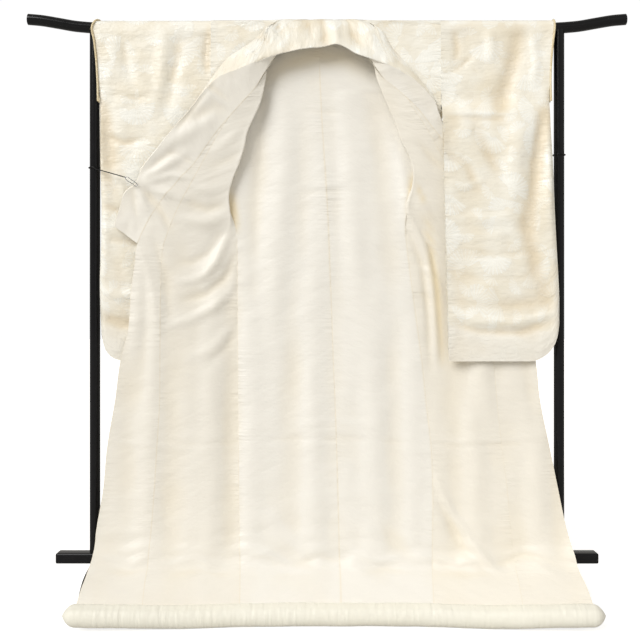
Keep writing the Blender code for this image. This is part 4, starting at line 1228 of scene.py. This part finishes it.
def sleeve_spot(side, entry, share, front):
    """A point of a sleeve's row, at a share from its inner to its outer edge."""
    left = side < 0
    table = SLEEVE_LEFT if left else SLEEVE_RIGHT
    corner = CORNER_LEFT if left else CORNER_RIGHT
    bottom = table[-1][0] * MM
    height, outer_x, inner_x, outer_front, outer_rear, inner_front, inner_rear = entry
    x = (inner_x + (outer_x - inner_x) * share) * MM
    if not front and left and height > table[SEWN_ROW][0]:
        x = max(x, LEFT_REAR_EDGE)
    outer_y = outer_front if front else outer_rear
    inner_y = inner_front if front else inner_rear
    y = (inner_y + (outer_y - inner_y) * share) * MM
    reach = max(corner - abs(outer_x * MM - x), 0.0)
    rise = corner * 1.25 * (1.0 - math.sqrt(max(1.0 - (reach / corner) ** 2, 0.0)))
    z = height * MM
    if z < CORNER_FROM:
        z = CORNER_FROM - (CORNER_FROM - z) * (CORNER_FROM - bottom - rise) / (CORNER_FROM - bottom)
    return np.array([x, y, z])


def sleeve_row(side, level, front):
    """A row across one layer of a sleeve; where both layers are sewn together it runs between them."""
    table = SLEEVE_LEFT if side < 0 else SLEEVE_RIGHT
    row = []
    for share in SLEEVE_SHARES:
        here = sleeve_spot(side, table[level], share, front)
        there = sleeve_spot(side, table[level], share, not front)
        sewn = share == 1.0 and level >= SEWN_ROW or level == len(table) - 1
        row.append((here + there) * 0.5 if sewn else here)
    return row


def sleeve_rows(side):
    """Rows of one long sleeve: the front from the bottom up, over the bar, the rear down."""
    table = SLEEVE_LEFT if side < 0 else SLEEVE_RIGHT
    levels = range(len(table))
    front_part = [sleeve_row(side, level, True) for level in reversed(levels)]
    rear_part = [sleeve_row(side, level, False) for level in levels]
    over = []
    turns = (140, 90, 40)
    for turn in turns:
        start = over_bar(table[0][2] * MM, turn, WRAP)
        end = over_bar(cuff_over_bar(side, turn, turns[-1]), turn, WRAP)
        over.append([toward(start, end, share) for share in SLEEVE_SHARES])
    return front_part, over, rear_part


def sleeve(side, name):
    """One long sleeve with the plain band along its bottom."""
    front_part, over, rear_part = sleeve_rows(side)
    grid, part = fine_parts(marked(front_part, 1.0), marked(over, 0.0), marked(rear_part, -1.0))
    x, z = grid[..., 0], grid[..., 2]
    from_edge = seam_distance(grid)
    hold = calm(from_edge, 0.0, 0.02) * 0.8 + 0.2
    lift = 1.25 * fold_field(x, z, SLEEVE_FOLDS) * np.where(part > 0.5, 1.0, 0.0)
    off_bar = np.where(np.abs(part) > 0.5, 1.0, 0.0)
    lift += (uneven(grid, 0.04, 0.0022, 40 + side) + uneven(grid, 0.10, 0.004, 20 + side)) * off_bar
    bottom = calm(z, 0.725, 0.77)
    grid = toward_viewer(grid, lift * hold * bottom * calm(1.70 - z, 0.0, 0.03))
    made = shell(name + "_sleeve_silk", grid, side, CLOTH, 0.0, FIGURED, side < 0)
    band_edge = 0.819 - 0.006 * np.sin(x * 31.0) - 0.003 * np.sin(x * 83.0)
    note(made, "seam", from_edge)
    note(made, "bare", calm(band_edge - z, -0.007, 0.007) * 0.85)
    # Painted shade in the sleeve's creases.
    note(made, "painted_crease_shade", trough_shade(lift))
    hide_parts("sleeve_" + name)


def tube(name, points, radius, look, sides, end_edge=0.0):
    """A round bar along a smooth line, as a curve turned into a mesh; its ends may be softened."""
    data = bpy.data.curves.new(name, "CURVE")
    data.dimensions = "3D"
    data.bevel_depth = radius
    data.bevel_resolution = sides // 4 * 2
    data.use_fill_caps = True
    line = data.splines.new("POLY")
    line.points.add(len(points) - 1)
    for knot, place in zip(line.points, points):
        knot.co = (place[0], place[1] + STAND_Y, place[2], 1.0)
    holder = bpy.data.objects.new(name, data)
    bpy.context.scene.collection.objects.link(holder)
    select_only(holder)
    bpy.ops.object.convert(target="MESH")
    made = bpy.context.view_layer.objects.active
    bpy.ops.object.mode_set(mode="EDIT")
    bpy.ops.mesh.select_all(action="SELECT")
    bpy.ops.mesh.remove_doubles(threshold=0.00001)
    bpy.ops.mesh.normals_make_consistent(inside=False)
    bpy.ops.object.mode_set(mode="OBJECT")
    if end_edge > 0.0:
        soften(made, end_edge, 3)
    return finished(made, look)


def soften(made, width, segments):
    """Rounds the sharp edges of a piece."""
    rounding = made.modifiers.new("rounding", "BEVEL")
    rounding.width = width
    rounding.segments = segments
    rounding.limit_method = "ANGLE"
    rounding.angle_limit = math.radians(50)
    rounding.use_clamp_overlap = True
    select_only(made)
    bpy.ops.object.modifier_apply(modifier=rounding.name)


def cuff(side, name):
    """The thin padded edge round one wrist opening: up the front, over the bar, down the rear."""
    table = SLEEVE_LEFT if side < 0 else SLEEVE_RIGHT
    shift = side * (CUFF_RADIUS + CUFF_PLAY)
    front = []
    rear = []
    for height, outer_x, _, front_y, rear_y, _, _ in table[:SEWN_ROW]:
        rear_x = LEFT_REAR_EDGE if side < 0 else outer_x * MM
        front.append((outer_x * MM + shift, front_y * MM - CUFF_SKIN, height * MM))
        rear.append((rear_x + shift, rear_y * MM + CUFF_SKIN, height * MM))
    height, outer_x, _, front_y, rear_y, _, _ = table[SEWN_ROW]
    front.append((outer_x * MM + shift, front_y * MM - CUFF_SKIN, height * MM + CUFF_END))
    rear.append((outer_x * MM + shift, rear_y * MM + CUFF_SKIN, height * MM + CUFF_END))
    turns = (150, 120, 90, 60, 30)
    over = [over_bar(cuff_over_bar(side, turn, turns[-1]) + shift, turn, WRAP + CUFF_SKIN)
            for turn in turns]
    line = curve_line(front[::-1] + over + rear, 4)
    made = tube(name + "_cuff_edge", line, CUFF_RADIUS, GOLD, 12)
    spots = np.array([vertex.co for vertex in made.data.vertices])
    cloth_map(made.data, spots[:, [0, 2]])
    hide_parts("cuff_" + name)


def hem_roll():
    """The padded roll along the hem: firm, flat where it rests, gathered round its seam."""
    count = 420
    sides = 40
    seam_turn = 205
    start = ROLL_AXIS[0][0] * MM
    end = ROLL_AXIS[-1][0] * MM
    line = curve_line([(x * MM, y * MM, z * MM) for x, y, z in ROLL_AXIS], 24)
    spots = []
    for centre in along(line, count):
        near_end = min(centre[0] - start, end - centre[0])
        taper = 1.0 - 0.75 * max(1.0 - near_end / ROLL_END, 0.0) ** 2.4
        for turn in np.linspace(0.0, 2 * math.pi, sides, endpoint=False):
            from_seam = math.degrees(turn) - seam_turn
            dent = noise.noise(Vector((centre[0] * 13.0, math.cos(turn) * 0.8, math.sin(turn) * 0.8)))
            small_dent = noise.noise(Vector((centre[0] * 85.0, math.cos(turn) * 1.6, 4.0)))
            gather = small_dent * (0.35 + 0.65 * math.exp(-(from_seam / 60) ** 2))
            valley = math.exp(-(from_seam / 16) ** 2)
            radius = (ROLL_RADIUS + 0.0015 * dent + 0.0011 * gather - 0.0022 * valley) * taper
            spots.append(centre + radius * np.array([0.0, math.sin(turn), -math.cos(turn)]))
    spots = np.array(spots).reshape(count, sides, 3)
    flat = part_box("hem_roll")[0].z + 0.0003
    spots[..., 2] = np.maximum(spots[..., 2], flat)
    made = closed_tube("hem_roll_padded", spots, PADDED)
    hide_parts("hem_roll")


def closed_tube(name, rings, look):
    """A closed round form through rings of points, with a blunt tip past each end ring."""
    count, around = rings.shape[:2]
    tip = np.array([0.004, 0.0, 0.0])
    caps = [rings[0].mean(axis=0) - tip, rings[-1].mean(axis=0) + tip]
    spots = np.concatenate([rings.reshape(-1, 3), caps])
    spots[:, 1] += STAND_Y
    first = count * around
    index = np.arange(first).reshape(count, around)
    after = np.roll(index, -1, axis=1)
    faces = np.stack([index[:-1], index[1:], after[1:], after[:-1]], axis=-1).reshape(-1, 4).tolist()
    faces += [[first, index[0, i], after[0, i]] for i in range(around)]
    faces += [[first + 1, after[-1, i], index[-1, i]] for i in range(around)]
    mesh = bpy.data.meshes.new(name)
    mesh.from_pydata(spots.tolist(), [], faces)
    work = bmesh.new()
    work.from_mesh(mesh)
    bmesh.ops.recalc_face_normals(work, faces=work.faces)
    work.to_mesh(mesh)
    work.free()
    layer = mesh.uv_layers.new(name="cloth")
    girth = 2 * math.pi * ROLL_RADIUS
    for face in mesh.polygons:
        places = [mesh.loops[loop].vertex_index for loop in face.loop_indices]
        shares = [place % around / around if place < first else 0.5 for place in places]
        crosses = max(shares) - min(shares) > 0.5
        for loop, place, share in zip(face.loop_indices, places, shares):
            if crosses and share < 0.5:
                share += 1.0
            layer.data[loop].uv = (spots[place][0], share * girth)
    return placed(name, mesh, look)


# Stand

def stand():
    """The top bar with raised tips, two uprights on arched feet, and the low rail."""
    line = curve_line([(x, 0.0, BAR_HEIGHT + rise * TIP_RISE) for x, rise in BAR_LINE], 6)
    made = tube("top_bar", line, BAR_RADIUS, BLACK, 24, 0.003)
    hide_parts("bar")
    for side, name in SIDES:
        x = side * UPRIGHT_X
        line = [(x, 0.0, height) for height in (UPRIGHT_LOW, 0.9, UPRIGHT_TOP)]
        made = tube(name + "_upright_tube", line, UPRIGHT_RADIUS, BLACK, 24)
        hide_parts("upright_" + name)
        line = curve_line([(x, y * MM, z * MM) for y, z in FOOT_LINE], 4)
        made = tube(name + "_foot_arch", line, FOOT_RADIUS, BLACK, 20, 0.0015)
        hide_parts("foot_" + name)
    low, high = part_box("rail")
    bpy.ops.object.select_all(action="DESELECT")
    bpy.ops.mesh.primitive_cube_add(size=1.0, location=(low + high) * 0.5)
    made = bpy.context.active_object
    made.name = "low_rail"
    made.scale = high - low
    bpy.ops.object.transform_apply(location=True, rotation=False, scale=True)
    soften(made, RAIL_EDGE, 4)
    finished(made, BLACK)
    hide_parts("rail")


def ties():
    """Cord loops on the uprights, the cord, and the pin that holds the left front open."""
    for side, name in SIDES:
        bpy.ops.object.select_all(action="DESELECT")
        bpy.ops.mesh.primitive_torus_add(
            location=(side * UPRIGHT_X, STAND_Y, LOOP_HEIGHTS[name]), major_segments=64,
            minor_segments=14, major_radius=LOOP_RADIUS, minor_radius=LOOP_CORD_RADIUS)
        made = bpy.context.active_object
        made.name = name + "_cord_loop"
        bpy.ops.object.transform_apply(location=True, rotation=False, scale=False)
        finished(made, BLACK)
        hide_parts("tie_band_" + name)
    line = curve_line([point(*spot) for spot in CORD_LINE], 8)
    made = tube("tie_cord_run", line, CORD_RADIUS, BLACK, 12)
    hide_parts("tie_cord")
    line = curve_line([point(*spot) for spot in PIN_LINE], 8)
    made = tube("safety_pin", line, WIRE_RADIUS, STEEL, 12)
    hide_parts("tie_pin")


# Room, lights and camera

def room():
    """A plain pale floor, a soft sky that the camera sees as a white backdrop, and two broad suns."""
    bpy.ops.object.select_all(action="DESELECT")
    bpy.ops.mesh.primitive_plane_add(size=60.0, location=(0.0, 0.0, -0.0005))
    floor = bpy.context.active_object
    floor.name = "floor"
    floor.data.materials.append(floor_finish("floor_white"))
    world = bpy.data.worlds.new("studio")
    bpy.context.scene.world = world
    world.use_nodes = True
    tree = world.node_tree
    sky = tree.nodes["Background"]
    sky.inputs["Color"].default_value = (1.0, 0.97, 0.91, 1.0)
    sky.inputs["Strength"].default_value = SKY_LIGHT
    backdrop = tree.nodes.new("ShaderNodeBackground")
    backdrop.inputs["Color"].default_value = (1.0, 1.0, 1.0, 1.0)
    backdrop.inputs["Strength"].default_value = BACKDROP_LIGHT
    seen = tree.nodes.new("ShaderNodeLightPath")
    choice = tree.nodes.new("ShaderNodeMixShader")
    tree.links.new(seen.outputs["Is Camera Ray"], choice.inputs[0])
    tree.links.new(sky.outputs[0], choice.inputs[1])
    tree.links.new(backdrop.outputs[0], choice.inputs[2])
    tree.links.new(choice.outputs[0], tree.nodes["World Output"].inputs[0])
    for name, place, width, strength in SUNS:
        data = bpy.data.lights.new(name, "SUN")
        data.angle = math.radians(width)
        data.energy = strength
        light = bpy.data.objects.new(name, data)
        light.rotation_euler = (-Vector(place)).to_track_quat("-Z", "Y").to_euler()
        bpy.context.scene.collection.objects.link(light)
    bpy.context.scene.view_settings.view_transform = "Standard"
    bpy.context.scene.view_settings.look = "None"


def camera():
    """A level camera in front of the kimono, at chest height."""
    data = bpy.data.cameras.new("camera")
    data.sensor_width = 36.0
    data.lens = CAMERA_LENS
    data.shift_y = (HORIZON_PIXEL - FRAME_PIXELS / 2) / FRAME_PIXELS
    made = bpy.data.objects.new("camera", data)
    made.location = (CAMERA_X, STAND_Y - CAMERA_DISTANCE, CAMERA_HEIGHT)
    made.rotation_euler = (math.radians(90), 0.0, 0.0)
    bpy.context.scene.collection.objects.link(made)
    bpy.context.scene.camera = made


for panel_side, side_name in SIDES:
    body(panel_side, side_name)
    overlap(panel_side, side_name)
    sleeve(panel_side, side_name)
collar()
for cuff_side, cuff_name in SIDES:
    cuff(cuff_side, cuff_name)
hem_roll()
stand()
ties()
room()
camera()
